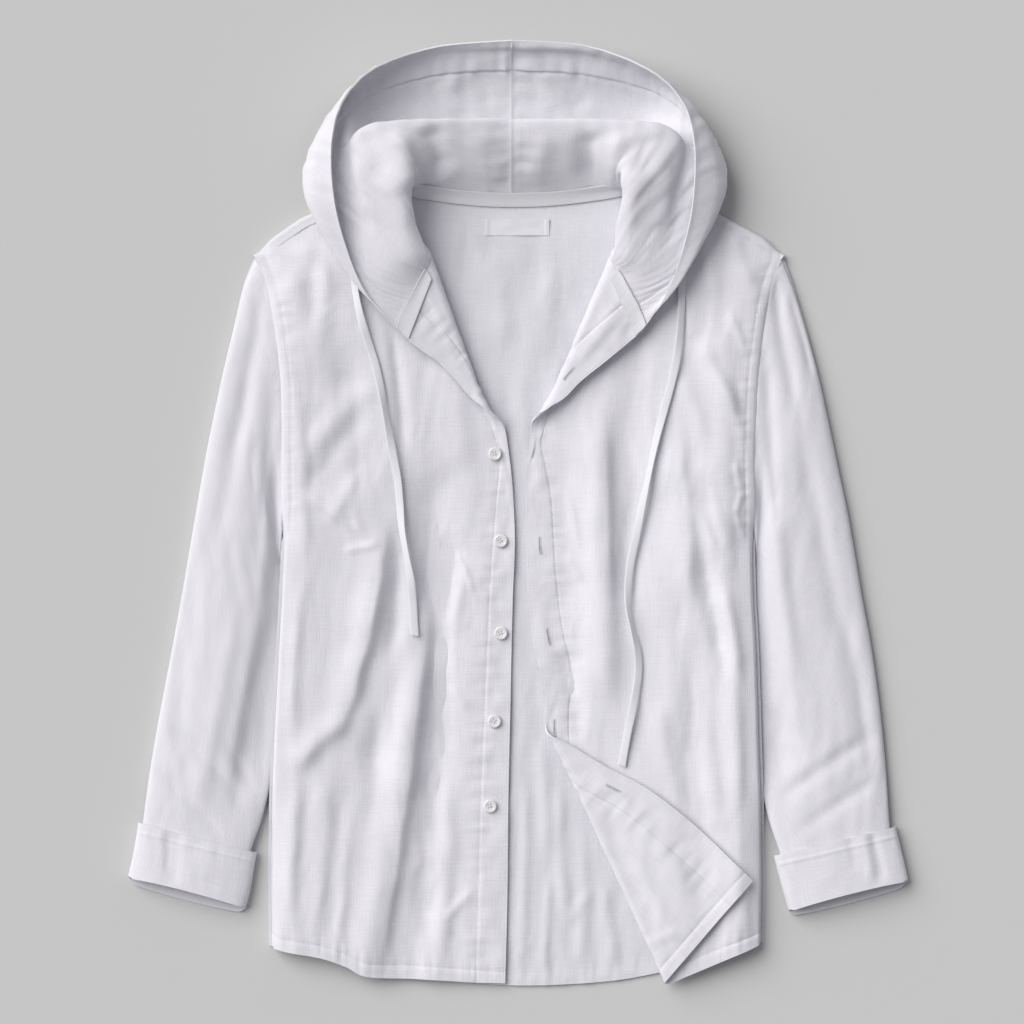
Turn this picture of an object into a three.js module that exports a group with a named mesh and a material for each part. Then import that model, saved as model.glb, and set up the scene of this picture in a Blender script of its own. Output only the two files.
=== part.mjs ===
// Hooded linen shirt laid flat on its back, front up, hood spread open above the neck.
// Millimetres. x runs across (image right is +x), y runs from hem to hood, z is up from the table.
import * as THREE from 'three'

// wall thicknesses and clearances
const CLOTH = 1.2
const FACING = 1.9
const CUFF_WALL = 2.0
const SEAM = 0.3
const ARMHOLE_GAP = 0.75
const FLOOR = CLOTH / 2

// heights of the sleeve tube
const SLEEVE_LOW = 3.0
const SLEEVE_HIGH = 9.5
const SLEEVE_FULL = 12.5

// front panel heights: at the side, beside the opening, and at the shoulder seam
const CHEST_SIDE = 17
const CHEST_CENTRE = 5.2
const SHOULDER_Z = 8.2
const SIDE_ZONE = 24
const PLACKET = 30

// shoulder fold of the back panel
const SHOULDER_FOLD = 3.8
const SHOULDER_RETURN = 0.6

const BUTTON_RADIUS = 6.2
const BUTTON_HEIGHT = 2.4
const CORD_WIDTH = 7.6
const CORD_THICK = 2.2
const TWIST = 0.6

// visible edge of the body from hem corner to shoulder tip: y, distance out from the middle
const SIDE_EDGE = {
  right: [[-402, 231], [-359, 232], [-312, 232], [-266, 231], [-210, 229], [-173, 227], [-117, 224],
    [-80, 222], [-33, 220], [13, 219], [50, 219], [87, 219], [125, 220], [162, 224], [194, 229],
    [219, 235], [234, 241], [238, 243]],
  left: [[-398, 230], [-359, 231], [-312, 231], [-266, 230], [-210, 228], [-173, 227], [-117, 225],
    [-80, 223], [-33, 222], [13, 222], [50, 221], [87, 222], [125, 224], [162, 228], [194, 233],
    [219, 239], [234, 245], [238, 247]],
}

// flat front edge from hem to neck: y, distance out from the middle
const FRONT_EDGE = {
  right: [[-437, 11], [-359, 9], [-266, 8], [-173, 6], [-80, 4], [-24, 2], [15, 3.5], [41, 5.6],
    [60, 8],
    [89, 12], [123, 17.5], [160, 17], [183, 11], [206, 6]],
  left: [[-438, 9], [-371, 5], [-311, 7], [-261, 17], [-223, 22], [-190, 27], [-164, 26], [-126, 16],
    [-80, 10], [-29, 8], [13, 8], [36, 8.4], [57, 11], [109, 14], [140, 17], [176, 14], [196, 12],
    [217, 10]],
}

// line the lapel rolls about, carried down as the facing's stitch line: y, distance out
const ROLL_LINE = {
  right: [[-436, 42], [-359, 40], [-266, 39], [-173, 37], [-80, 35], [-24, 32], [20, 26], [62, 20],
    [99, 34], [135, 47], [170, 60], [210, 75], [243, 88], [251, 91]],
  left: [[-437, 142], [-431, 139.3], [-371, 111.4], [-311, 83.6], [-261, 60.4], [-223, 42.8],
    [-206, 36], [-190, 34],
    [-164, 39], [-126, 42], [-80, 40], [-29, 37], [13, 33], [45, 22], [62, 18], [89, 27],
    [135, 48], [170, 63],
    [210, 81], [240, 94], [249, 97]],
}

// lapel roll: line from A down to B, and how tight it curls along that line
const LAPEL = {
  right: { a: [88, 243], b: [33, 99], curl: [[-60, 7.5], [0, 7], [60, 5.8], [120, 4.8], [150, 6],
  [172, 14], [192, 60]] },
  left: { a: [94, 240], b: [27, 89], curl: [[-60, 7.5], [0, 7], [60, 5.8], [120, 4.8], [150, 6],
  [172, 14], [192, 60]] },
}

// corner of the left front turned back on itself
const CORNER = { a: [29, -193.5], b: [139.5, -431.5], curl: [[-42, 80], [-20, 12], [0, 6],
  [40, 3.6], [270, 3.6]] }

// hem line from side to front edge: distance out, y
const HEM = {
  right: [[231, -402], [216, -407], [183, -413], [160, -421], [141, -430], [100, -432],
    [62, -434], [11, -437]],
  left: [[230, -398], [221, -402], [189, -412], [160, -421], [127, -431], [96, -436], [53, -436],
    [9, -438]],
}
// share of the hem that lies between the side and the roll line
const HEM_SPLIT = { right: 0.85, left: 0.393 }
const BACK_HEM = [[-231, -402], [-183, -412], [-141, -424], [-100, -431], [-11, -439], [77, -436],
  [138, -426], [189, -412], [230, -398]]

// shoulder seam and neckline from the tip of the shoulder to the roll line: distance out, y
const FRONT_TOP = {
  right: [[241, 234], [211, 257], [183, 271], [146, 288], [112, 301], [109, 290], [106, 278],
    [99, 262], [91, 251]],
  left: [[245, 234], [212, 258], [181, 272], [147, 288], [112, 301], [109, 290], [106, 276],
    [101, 259], [97, 249]],
}
// back shoulder fold, left to right, with the neckline between: x, y
const BACK_TOP = [[-243, 238], [-225, 254], [-199, 272], [-155, 290], [-120, 303], [-111, 302.5],
  [-97, 300],
  [-72, 296], [-34, 292], [-5, 291], [26, 292], [59, 295], [98, 300.5], [111, 302.5], [120, 303],
  [152, 290.5],
  [191, 273], [226, 254.5], [247, 238]]

// large folds of each front: ends of the fold, its half width and its height
const FOLDS = {
  right: [
    { x0: 62, y0: -45, x1: 128, y1: -220, half: 15, high: -3.2 },
    { x0: 128, y0: -220, x1: 108, y1: -430, half: 17, high: -3.0 },
    { x0: 92, y0: -110, x1: 138, y1: -400, half: 14, high: 3.2 },
    { x0: 60, y0: -150, x1: 78, y1: -420, half: 13, high: 1.8 },
    { x0: 170, y0: 10, x1: 110, y1: -45, half: 10, high: 2.0 },
    { x0: 190, y0: 180, x1: 150, y1: 20, half: 14, high: 2.0 },
  ],
  left: [
    { x0: 78, y0: 60, x1: 82, y1: -150, half: 13, high: 3.0 },
    { x0: 110, y0: 170, x1: 104, y1: -60, half: 12, high: -2.4 },
    { x0: 190, y0: 150, x1: 196, y1: -80, half: 14, high: 2.4 },
    { x0: 150, y0: -60, x1: 176, y1: -380, half: 15, high: -2.6 },
    { x0: 205, y0: -100, x1: 208, y1: -380, half: 12, high: 2.2 },
  ],
}

// sleeve edges from cap to cuff mouth: outer x, y, inner x, y (distances out)
const SLEEVE = {
  right: [
    [244, 238, 221, -15], [254, 213, 221.5, -36], [263, 176, 218.5, -60], [273, 134, 212, -82],
    [283, 87, 210, -105], [291, 46, 210, -130], [300, -6, 212, -155], [311, -71, 216, -182],
    [321, -126, 221, -212], [332, -184, 228, -245], [341, -236, 238, -284], [347.5, -284, 247.5, -312],
    [351.5, -312, 251.5, -340], [355, -333, 255.5, -361]],
  left: [
    [248, 238, 223.5, -15], [258, 210, 224, -36], [269, 172, 221, -60], [280, 130, 214, -82],
    [290, 85, 212, -105], [299, 42, 212, -130], [309, -6, 214, -155], [320, -71, 216, -180],
    [330, -126, 219, -210], [338, -184, 226, -243], [343, -236, 234, -282], [346.5, -288, 245, -316],
    [351, -316, 250, -343], [356, -338, 255, -364]],
}
// cuff edges from its stitched top to its mouth: outer x, y, inner x, y
const CUFF = {
  right: [[351.9, -287, 242.7, -315], [353.9, -301, 245.2, -328], [357.4, -322, 248.7, -350],
    [361.3, -340, 253.2, -368]],
  left: [[351.8, -291, 239.8, -318], [355.4, -306, 243.2, -332], [359.9, -326, 248.2, -352],
    [363.3, -343, 253.7, -371]],
}

// hood sections from the back seam round to the lapel; every entry is distance out, y, height
const HOOD = {
  stations: ['back seam', 'back', 'back corner', 'ear', 'shoulder', 'side', 'chest', 'collar'],
  neck: [[5, 294.4, 3.6], [42, 296, 3.6], [84, 301.6, 4.6], [98, 304.6, 6.6], [107, 301, 11],
    [105, 285, 10], [100, 266, 10.5], [90.3, 255.6, 13]],
  wall: [[5, 303, 8], [42, 304, 8], [84, 309, 13], [98, 310, 17], [102, 303, 21], [100, 285, 21],
    [94, 264, 21], [86, 247, 21]],
  crest: [[5, 325, 24], [48, 326, 26], [92, 326, 34], [101, 322, 41], [100, 306, 43],
    [98, 287, 39], [93, 264, 33], [84, 243, 28]],
  shelf: [[5, 347, 36], [53, 348, 38], [104, 344, 44], [117, 335, 48], [116, 313, 50],
    [111, 291, 45], [105, 265, 40], [94, 239, 34]],
  ridge: [[5, 364, 38], [58, 365, 41], [118, 363, 43], [143, 355, 42], [148, 332, 41],
    [138, 297, 38], [127, 267, 35], [108, 234, 34]],
  tuck: [[5, 360, 27], [58, 359, 29], [119, 357, 31], [147, 350, 31], [158, 337, 32],
    [150, 300, 32], [137, 269, 32], [114, 231, 33]],
  valley: [[5, 322, 9], [52, 325, 9], [109, 329, 11], [140, 336, 17], [163, 338, 24],
    [160, 303, 27], [146, 270, 29], [120, 228, 32]],
  floorIn: [[5, 331, 2], [56, 334, 2], [115, 338, 3], [148, 342, 8], [168, 340, 17],
    [169, 306, 22], [154, 271, 26], [126, 225, 31]],
  floorOut: [[5, 388, 1], [64, 386, 1], [125, 375, 1], [156, 358, 4], [174, 343, 12],
    [178, 309, 19], [163, 272, 24], [132, 221, 30]],
  out: [[5, 417, 8], [70, 413, 9], [130, 397, 9], [162, 371, 10], [181, 346, 11], [189, 311, 18],
    [176, 274, 23], [140, 217, 29]],
  lobe: [[5, 431, 22], [75, 427, 22], [134, 409, 22], [168, 379, 22], [188, 348, 22],
    [199, 313, 25], [189, 276, 29], [147, 212, 29]],
  curl: [[5, 435, 34], [76, 431, 34], [134, 413, 36], [166, 382, 36], [183, 348, 37],
    [190, 308, 38], [180, 268, 37], [146, 209, 31]],
  rim: [[5, 439, 43], [75, 433, 44], [131, 413, 47], [160, 384, 48], [171, 345, 48],
    [170, 298, 46], [160, 253, 40], [141, 207, 33]],
}
// the left half sits a little differently: shift out per section, and its own rim and lobe
const LEFT_SHIFT = [-10, -8, -4, -2, -1, -1, -0.3, 6.5]
const LEFT_RIM = [[-5, 439, 43], [63, 434, 44], [122, 411, 47], [153, 381, 48], [164, 342, 48],
  [163, 292, 46], [155, 250, 40], [140, 207, 33]]
const LEFT_LOBE = [[-5, 431, 22], [63, 428, 22], [125, 407, 22], [165, 375, 22], [186, 343, 22],
  [195, 311, 25], [184, 273, 29], [146, 211, 29]]
const LEFT_CURL = [4, 0, 3]

// buttons down the right front: x, y, tilt of the holes in degrees
const BUTTONS = [[-20.5, 56, 10], [-15, -25, 35], [-15, -111, 20], [-21, -193, 60], [-25, -272, 15]]
// top button, folded under the lapel, and its height above the front
const TOP_BUTTON = [-55, 142]
const TOP_BUTTON_RISE = 5.2
// drawstring ends: distance out, y, height above the front, twist in degrees
const CORDS = {
  right: [[149, 236, 2.6, 20], [151.5, 222, 2.5, 30], [150, 206, 2.8, 65], [147, 190, 3.4, 80],
    [143, 175, 3.4, 60],
    [138, 159, 2.8, 25], [132, 140, 2.6, 8], [127, 119, 3.2, 30], [123, 98, 4.0, 70],
    [119, 76, 4.2, 85],
    [115, 54, 4.0, 75], [111, 32, 3.2, 45], [109, 10, 3.0, 30], [107, -14, 3.6, 60],
    [103, -38, 4.0, 80],
    [99, -60, 3.4, 60], [97, -80, 2.6, 20], [96, -98, 2.4, 6], [95, -113, 2.4, 0]],
  left: [[152, 238, 2.6, 10], [153, 222, 2.5, 12], [153, 204, 2.8, 30], [152.5, 184, 3.2, 55],
    [151, 163, 3.6, 75],
    [148, 142, 3.6, 65], [143, 120, 3.0, 35], [137, 98, 2.8, 20], [131, 76, 3.2, 45],
    [126, 54, 3.8, 70],
    [121, 30, 4.0, 80], [116, 6, 3.8, 70], [111, -20, 3.2, 45], [106, -44, 2.8, 25],
    [103.5, -66, 3.2, 45],
    [104, -88, 3.8, 70], [108, -108, 3.8, 75], [112, -126, 3.2, 45], [113, -146, 3.0, 30],
    [110.5, -166, 3.4, 55],
    [107, -184, 3.8, 70], [103, -202, 3.4, 50], [100, -219, 2.8, 25], [97.5, -234, 2.5, 8]],
}

const LINEN = new THREE.MeshStandardMaterial({ color: 0xeeedf2, roughness: 0.9 })
const TRIM = new THREE.MeshStandardMaterial({ color: 0xf2f1f4, roughness: 0.7 })
const SHELL = new THREE.MeshStandardMaterial({ color: 0xe9e8ea, roughness: 0.35 })

const clamp = (v, lo, hi) => Math.min(hi, Math.max(lo, v))
const mix = (a, b, t) => a + (b - a) * t
const ease = (lo, hi, v) => {
  const t = clamp((v - lo) / (hi - lo), 0, 1)
  return t * t * (3 - 2 * t)
}

// value read off a table of [key, value, ...] rows, passing smoothly through every row
function read(rows, key, column = 1) {
  const last = rows.length - 1
  if (key <= rows[0][0]) return rows[0][column]
  if (key >= rows[last][0]) return rows[last][column]
  let i = 0
  while (rows[i + 1][0] < key) i++
  const width = rows[i + 1][0] - rows[i][0]
  const t = (key - rows[i][0]) / width
  const slope = (k) => {
    const before = rows[Math.max(k - 1, 0)]
    const after = rows[Math.min(k + 1, last)]
    return (after[column] - before[column]) / (after[0] - before[0])
  }
  const a = rows[i][column]
  const b = rows[i + 1][column]
  const m0 = slope(i) * width
  const m1 = slope(i + 1) * width
  const t2 = t * t
  const t3 = t2 * t
  return a * (2 * t3 - 3 * t2 + 1) + m0 * (t3 - 2 * t2 + t) + b * (3 * t2 - 2 * t3) + m1 * (t3 - t2)
}

// point at a share of the length of a polyline
function walk(points, share) {
  const lengths = [0]
  for (let i = 1; i < points.length; i++) {
    const step = Math.hypot(...points[i].map((v, k) => v - points[i - 1][k]))
    lengths.push(lengths[i - 1] + step)
  }
  const want = clamp(share, 0, 1) * lengths[lengths.length - 1]
  let i = 0
  while (i < points.length - 2 && lengths[i + 1] < want) i++
  const t = (want - lengths[i]) / (lengths[i + 1] - lengths[i])
  return points[i].map((v, k) => mix(v, points[i + 1][k], t))
}

// smooth curve through points, read at a share of its count of spans
function through(points, share) {
  const spans = points.length - 1
  const at = clamp(share, 0, 1) * spans
  const i = Math.min(Math.floor(at), spans - 1)
  const t = at - i
  const p = (k) => points[clamp(k, 0, spans)]
  return p(i).map((_, k) => {
    const a = p(i - 1)[k]
    const b = p(i)[k]
    const c = p(i + 1)[k]
    const d = p(i + 2)[k]
    const square = 2 * a - 5 * b + 4 * c - d
    const cubic = 3 * b - a - 3 * c + d
    return 0.5 * (2 * b + (c - a) * t + square * t * t + cubic * t * t * t)
  })
}

// angle round the sleeve section for a share of the way from outer to inner fold
const foldAngle = (share) => Math.acos(clamp(1 - 2 * share, -1, 1))

// height of the armhole seam on the front, worked from the sleeve section that meets it
function armholeHeight(y) {
  const share = (238 - y) / (238 + 15)
  return FLOOR + SLEEVE_LOW + SLEEVE_HIGH * Math.pow(Math.max(Math.sin(foldAngle(share)), 0), 0.6)
}

// how far the back lifts at its side to pass over the sleeve beneath
const BACK_LIFT = [[-402, 0.6], [-330, 0.6], [-300, 1.2], [-272, 4.8], [-254, 7.6], [-240, 8],
  [-55, 8.2], [-42, 8],
  [-30, 6.6], [-15, 3.6], [0, 1.2], [15, 0.6], [240, 0.6]]

function backHeight(out, y, edge) {
  const lift = read(BACK_LIFT, y) - FLOOR
  const inward = edge - out
  return FLOOR + lift * (1 - ease(14, 46, inward))
}

// share of the armhole manner of edge (1) against the side seam manner (0)
const armShare = (y) => ease(-38, 6, y)

function foldHeight(folds, out, y) {
  let sum = 0
  for (const f of folds) {
    const dx = f.x1 - f.x0
    const dy = f.y1 - f.y0
    const length = Math.hypot(dx, dy)
    const along = ((out - f.x0) * dx + (y - f.y0) * dy) / length
    const across = ((out - f.x0) * -dy + (y - f.y0) * dx) / length
    const over = Math.max(0, -along, along - length)
    sum += f.high * Math.exp(-((across / f.half) ** 2)) * Math.exp(-((over / 22) ** 2))
  }
  return sum
}

// distance down from the shoulder seam at a place out from the middle
function belowShoulder(side, out, y) {
  const top = FRONT_TOP[side]
  if (out < top[4][0]) return Math.hypot(out - top[4][0], y - top[4][1])
  const rows = top.slice(0, 5).reverse()
  return (read(rows, out) - y) * 0.88
}

// height of a front panel's middle surface at a place of the plan
function frontHeight(side, out, y) {
  const edge = read(SIDE_EDGE[side], y)
  const inward = Math.max(edge - out, 0)
  const reach = edge - 10
  const slope = clamp((inward - SIDE_ZONE) / (reach - SIDE_ZONE), 0, 1)
  const high = CHEST_CENTRE + (CHEST_SIDE - CHEST_CENTRE) * Math.pow(1 - slope, 1.25)
  const rounded = read(
    [[0, 0], [2, 0.34], [6, 0.62], [13, 0.86], [SIDE_ZONE, 1]],
    Math.min(inward, SIDE_ZONE),
  )
  const seam = read(BACK_LIFT, y) + FLOOR + SEAM + 1.1
  const start = mix(seam + 2.5, armholeHeight(y), armShare(y))
  const body = mix(start, high, rounded)
  const calm = ease(4, 30, inward) * ease(0, 24, out + 4)
  const waved = body + calm * foldHeight(FOLDS[side], out, y)
  const near = belowShoulder(side, out, y)
  const shoulder = mix(SHOULDER_Z, Math.max(waved, 3.4), ease(0, 46, near))
  const tip = mix(armholeHeight(y), shoulder, ease(0, 20, inward))
  return y > 190 ? mix(shoulder, Math.min(tip, shoulder), ease(190, 225, y)) : shoulder
}

// carries a flat point over a roll line; the point comes back with its rise
function roll(line, out, y) {
  const [ax, ay] = line.a
  const dx = line.b[0] - ax
  const dy = line.b[1] - ay
  const length = Math.hypot(dx, dy)
  const ux = dx / length
  const uy = dy / length
  const nx = uy
  const ny = -ux
  const along = (out - ax) * ux + (y - ay) * uy
  const beyond = (out - ax) * nx + (y - ay) * ny
  const last = line.curl[line.curl.length - 1]
  const first = line.curl[0]
  if (beyond <= 0) return [out, y, 0]
  const radius = read(line.curl, along)
  const dying = last[1] > 20 ? 1 - ease(last[0], last[0] + 30, along) : 1
  const fade = ease(first[0] - 30, first[0], along) * dying
  if (fade <= 0) return [out, y, 0]
  const curve = fade / radius
  const turn = curve * beyond
  let offset
  let rise
  if (turn < Math.PI) {
    offset = Math.sin(turn) / curve
    rise = (1 - Math.cos(turn)) / curve
  } else {
    offset = -(beyond - Math.PI / curve)
    rise = 2 / curve
  }
  return [ax + ux * along + nx * offset, ay + uy * along + ny * offset, rise]
}

// flat pattern point of a front: share up the panel, share across from side to roll line, or beyond it
function frontFlat(side, up, across, beyond) {
  const sideRows = SIDE_EDGE[side]
  const rollRows = ROLL_LINE[side]
  const edgeRows = FRONT_EDGE[side]
  const level = (rows) => {
    const y = mix(rows[0][0], rows[rows.length - 1][0], up)
    return [read(rows, y), y]
  }
  const s = level(sideRows.slice(0, -1))
  const r = level(rollRows)
  if (beyond > 0) {
    const e = level(edgeRows)
    return [mix(r[0], e[0], beyond), mix(r[1], e[1], beyond)]
  }
  const hem = HEM[side]
  const top = FRONT_TOP[side]
  const split = HEM_SPLIT[side]
  const b = walk(hem, across * split)
  const b0 = walk(hem, 0)
  const b1 = walk(hem, split)
  const t = walk(top, across)
  const t0 = walk(top, 0)
  const t1 = walk(top, 1)
  return [0, 1].map((k) => {
    const base = mix(s[k], r[k], across)
    const low = b[k] - mix(b0[k], b1[k], across)
    const high = t[k] - mix(t0[k], t1[k], across)
    return base + (1 - up) * low + up * high
  })
}

// finished point of a front panel's middle surface
function frontPoint(side, up, across, beyond) {
  const [fx, fy] = frontFlat(side, up, across, beyond)
  const lapel = roll(LAPEL[side], fx, fy)
  let out = lapel[0]
  let y = lapel[1]
  let rise = lapel[2]
  if (side === 'left' && fy < -120) {
    const turned = roll(CORNER, fx, fy)
    out = turned[0]
    y = turned[1]
    rise = turned[2]
  }
  const edge = read(SIDE_EDGE[side], y)
  const inward = edge - out
  let z = frontHeight(side, out, y) + rise
  const arm = armShare(y)
  if (up < 0.999 && inward < 12 && arm < 1) {
    const tuck = (1 - arm) * 3.6 * (1 - ease(0, 7, inward))
    out -= tuck
    const seam = read(BACK_LIFT, y) + FLOOR + SEAM + 1.1
    z = mix(z, seam, (1 - arm) * (1 - ease(0, 3.5, inward)))
  }
  const away = arm * SEAM * (inward < 0.5 ? 1 : 0)
  const sign = side === 'right' ? -1 : 1
  return new THREE.Vector3(sign * (out - away), y, z)
}

const CHEST_COLUMNS = [0, 0.008, 0.02, 0.04, 0.07, 0.12, 0.2, 0.3, 0.4, 0.5, 0.6, 0.7, 0.8, 0.9]
const CHEST_COUNT = CHEST_COLUMNS.length

function frontGrid(side, rows) {
  const grid = []
  for (let j = 0; j <= rows; j++) {
    const up = j / rows
    const line = []
    for (const across of CHEST_COLUMNS) line.push(frontPoint(side, up, across, 0))
    const r = frontFlat(side, up, 1, 0)
    const e = frontFlat(side, up, 1, 1)
    const wide = Math.hypot(e[0] - r[0], e[1] - r[1])
    const radius = side === 'left' && up < 0.4 ? 3.9 : 6
    const bend = clamp((Math.PI * radius) / wide, 0.08, 0.56)
    line.push(frontPoint(side, up, 1, 0))
    for (let k = 1; k <= 5; k++) line.push(frontPoint(side, up, 1, (k / 5) * bend))
    for (let k = 1; k <= 4; k++) line.push(frontPoint(side, up, 1, mix(bend, 1, k / 4)))
    grid.push(line)
  }
  return grid
}

const FRONT_ROWS = 27

// the facing doubles the cloth beside the front edge and along the hem
function frontWall(side) {
  return (j, i) => {
    if (j === 0) return FACING
    if (i <= CHEST_COUNT) return CLOTH
    const up = j / FRONT_ROWS
    const r = frontFlat(side, up, 1, 0)
    const e = frontFlat(side, up, 1, 1)
    const wide = Math.hypot(e[0] - r[0], e[1] - r[1])
    const remaining = (wide * (CHEST_COUNT + 9 - i)) / 9
    return remaining < PLACKET ? FACING : CLOTH
  }
}

function frontPanel(side) {
  return sheetSolid(frontGrid(side, FRONT_ROWS), frontWall(side))
}

// back panel: flat on the table, lifted over the sleeves, folded over at the shoulders
function backPanel() {
  const columns = [0, 0.02, 0.05, 0.09, 0.14, 0.22, 0.31, 0.4, 0.5, 0.6, 0.69, 0.78, 0.86, 0.91, 0.95, 0.98, 1]
  const rows = 17
  const grid = []
  const sideLevel = (side, up) => {
    const table = SIDE_EDGE[side]
    const y = mix(table[0][0], table[table.length - 1][0], up)
    return [read(table, y), y]
  }
  for (let j = 0; j <= rows; j++) {
    const up = j / rows
    const l = sideLevel('right', up)
    const r = sideLevel('left', up)
    const line = []
    for (const u of columns) {
      const hem = walk(BACK_HEM, u)
      const hem0 = BACK_HEM[0]
      const hem1 = BACK_HEM[BACK_HEM.length - 1]
      const top = walk(BACK_TOP, u)
      const top0 = BACK_TOP[0]
      const top1 = BACK_TOP[BACK_TOP.length - 1]
      const x = mix(-l[0], r[0], u) + (1 - up) * (hem[0] - mix(hem0[0], hem1[0], u))
        + up * (top[0] - mix(top0[0], top1[0], u))
      const y = mix(l[1], r[1], u) + (1 - up) * (hem[1] - mix(hem0[1], hem1[1], u))
        + up * (top[1] - mix(top0[1], top1[1], u))
      const side = x < 0 ? 'right' : 'left'
      const edge = read(SIDE_EDGE[side], y)
      const inset = Math.sign(x) * SEAM * (Math.abs(u - 0.5) > 0.499 ? 1 : 0)
      line.push(new THREE.Vector3(x - inset, y, backHeight(Math.abs(x), y, edge)))
    }
    grid.push(line)
  }
  grid.push(...shoulderRows(grid[rows], columns))
  return sheetSolid(grid, () => CLOTH)
}

// rows that carry the back over the shoulder fold to the seam on the front
function shoulderRows(last, columns) {
  const steps = 6
  const made = []
  for (let k = 1; k <= steps; k++) {
    const line = last.map((p, i) => {
      const before = last[Math.max(i - 1, 0)]
      const after = last[Math.min(i + 1, columns.length - 1)]
      const along = after.clone().sub(before).setZ(0).normalize()
      const outward = new THREE.Vector3(-along.y, along.x, 0)
      const over = ease(97, 113, Math.abs(p.x))
      const turn = (Math.min(k, 5) / 5) * Math.PI
      const fold = SHOULDER_FOLD * Math.sin(turn) - (k > 5 ? SHOULDER_RETURN : 0)
      const rise = SHOULDER_FOLD * (1 - Math.cos(turn))
      const q = p.clone().addScaledVector(outward, mix(0.35 * k, fold, over))
      q.z = FLOOR + mix(0.3 * k, rise, over)
      return q
    })
    made.push(line)
  }
  return made
}

// solid cloth wall from a grid of points on its middle surface
function sheetSolid(grid, wall, ringed = false) {
  const rows = grid.length
  const cols = grid[0].length
  const at = (j, i) => {
    const ii = ringed ? (i + cols) % cols : clamp(i, 0, cols - 1)
    return grid[clamp(j, 0, rows - 1)][ii]
  }
  const normals = grid.map((line, j) => line.map((_, i) => {
    const across = at(j, i + 1).clone().sub(at(j, i - 1))
    const along = at(j + 1, i).clone().sub(at(j - 1, i))
    const n = across.cross(along)
    return n.normalize()
  }))
  const points = []
  const layer = (sign) => {
    const base = points.length
    grid.forEach((line, j) => line.forEach((p, i) => {
      points.push(p.clone().addScaledVector(normals[j][i], (sign * wall(j, i)) / 2))
    }))
    return base
  }
  const top = layer(1)
  const low = layer(-1)
  const faces = []
  const spans = ringed ? cols : cols - 1
  const idx = (base, j, i) => base + j * cols + (ringed ? i % cols : i)
  const quad = (a, b, c, d) => {
    const pa = points[a]
    const pb = points[b]
    const pc = points[c]
    const pd = points[d]
    if (pa.distanceTo(pc) <= pb.distanceTo(pd)) faces.push([a, b, c], [a, c, d])
    else faces.push([a, b, d], [b, c, d])
  }
  for (let j = 0; j < rows - 1; j++) {
    for (let i = 0; i < spans; i++) {
      quad(idx(top, j, i), idx(top, j, i + 1), idx(top, j + 1, i + 1), idx(top, j + 1, i))
      quad(idx(low, j, i), idx(low, j + 1, i), idx(low, j + 1, i + 1), idx(low, j, i + 1))
    }
  }
  for (let i = 0; i < spans; i++) {
    quad(idx(top, 0, i), idx(low, 0, i), idx(low, 0, i + 1), idx(top, 0, i + 1))
    quad(idx(top, rows - 1, i + 1), idx(low, rows - 1, i + 1), idx(low, rows - 1, i), idx(top, rows - 1, i))
  }
  if (!ringed) {
    for (let j = 0; j < rows - 1; j++) {
      quad(idx(top, j + 1, 0), idx(low, j + 1, 0), idx(low, j, 0), idx(top, j, 0))
      quad(idx(top, j, cols - 1), idx(low, j, cols - 1), idx(low, j + 1, cols - 1), idx(top, j + 1, cols - 1))
    }
  }
  const geometry = new THREE.BufferGeometry()
  const flat = []
  for (const p of points) flat.push(p.x, p.y, Math.max(p.z, 0))
  geometry.setAttribute('position', new THREE.Float32BufferAttribute(flat, 3))
  geometry.setIndex(faces.flat())
  geometry.computeVertexNormals()
  return geometry
}

// sleeve: a flattened tube read off the edge table, sewn to the armhole at its first section
const SLEEVE_RINGS = 18
const SLEEVE_AROUND = 20

function armholePlan(side, share) {
  const y = mix(238, -15, share)
  return [read(SIDE_EDGE[side], y), y]
}

function sleevePoint(side, station, turn) {
  const rows = SLEEVE[side]
  const row = through(rows, station / (rows.length - 1))
  const share = (1 - Math.cos(turn)) / 2
  const sine = Math.sin(turn)
  let out = mix(row[0], row[2], share)
  let y = mix(row[1], row[3], share)
  const hold = Math.pow(clamp(1 - station / 3, 0, 1), 1.5)
  const seam = armholePlan(side, share)
  const gap = ARMHOLE_GAP + (sine < 0 ? 1.2 : 0)
  out += hold * (seam[0] + gap - mix(rows[0][0], rows[0][2], share))
  y += hold * (seam[1] - mix(rows[0][1], rows[0][3], share))
  const raised = FLOOR + 2.7 * ease(9.6, 10.9, station)
  const middle = raised + SLEEVE_LOW
  const full = mix(SLEEVE_HIGH, SLEEVE_FULL, ease(0, 3, station) * (1 - ease(9.2, 10.8, station)))
  const under = ease(0.62, 0.86, share) * ease(0.1, 1.5, station) * (1 - ease(8.4, 10.4, station))
  let z
  if (sine >= 0) z = middle + full * (1 - 0.86 * under) * Math.pow(sine, 0.6)
  else z = middle - SLEEVE_LOW * Math.pow(-sine, 0.3)
  const sign = side === 'right' ? -1 : 1
  return new THREE.Vector3(sign * out, y, z)
}

function tube(pointAt, rings, around, wall, side) {
  const grid = []
  for (let j = 0; j <= rings; j++) {
    const line = []
    for (let i = 0; i < around; i++) {
      const k = side === 'right' ? i : around - i
      line.push(pointAt(j / rings, (k / around) * Math.PI * 2))
    }
    grid.push(line)
  }
  return sheetSolid(grid, wall, true)
}

function sleeve(side) {
  const last = SLEEVE[side].length - 1
  return tube((s, turn) => sleevePoint(side, s * last, turn), SLEEVE_RINGS, SLEEVE_AROUND, () => CLOTH, side)
}

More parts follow.
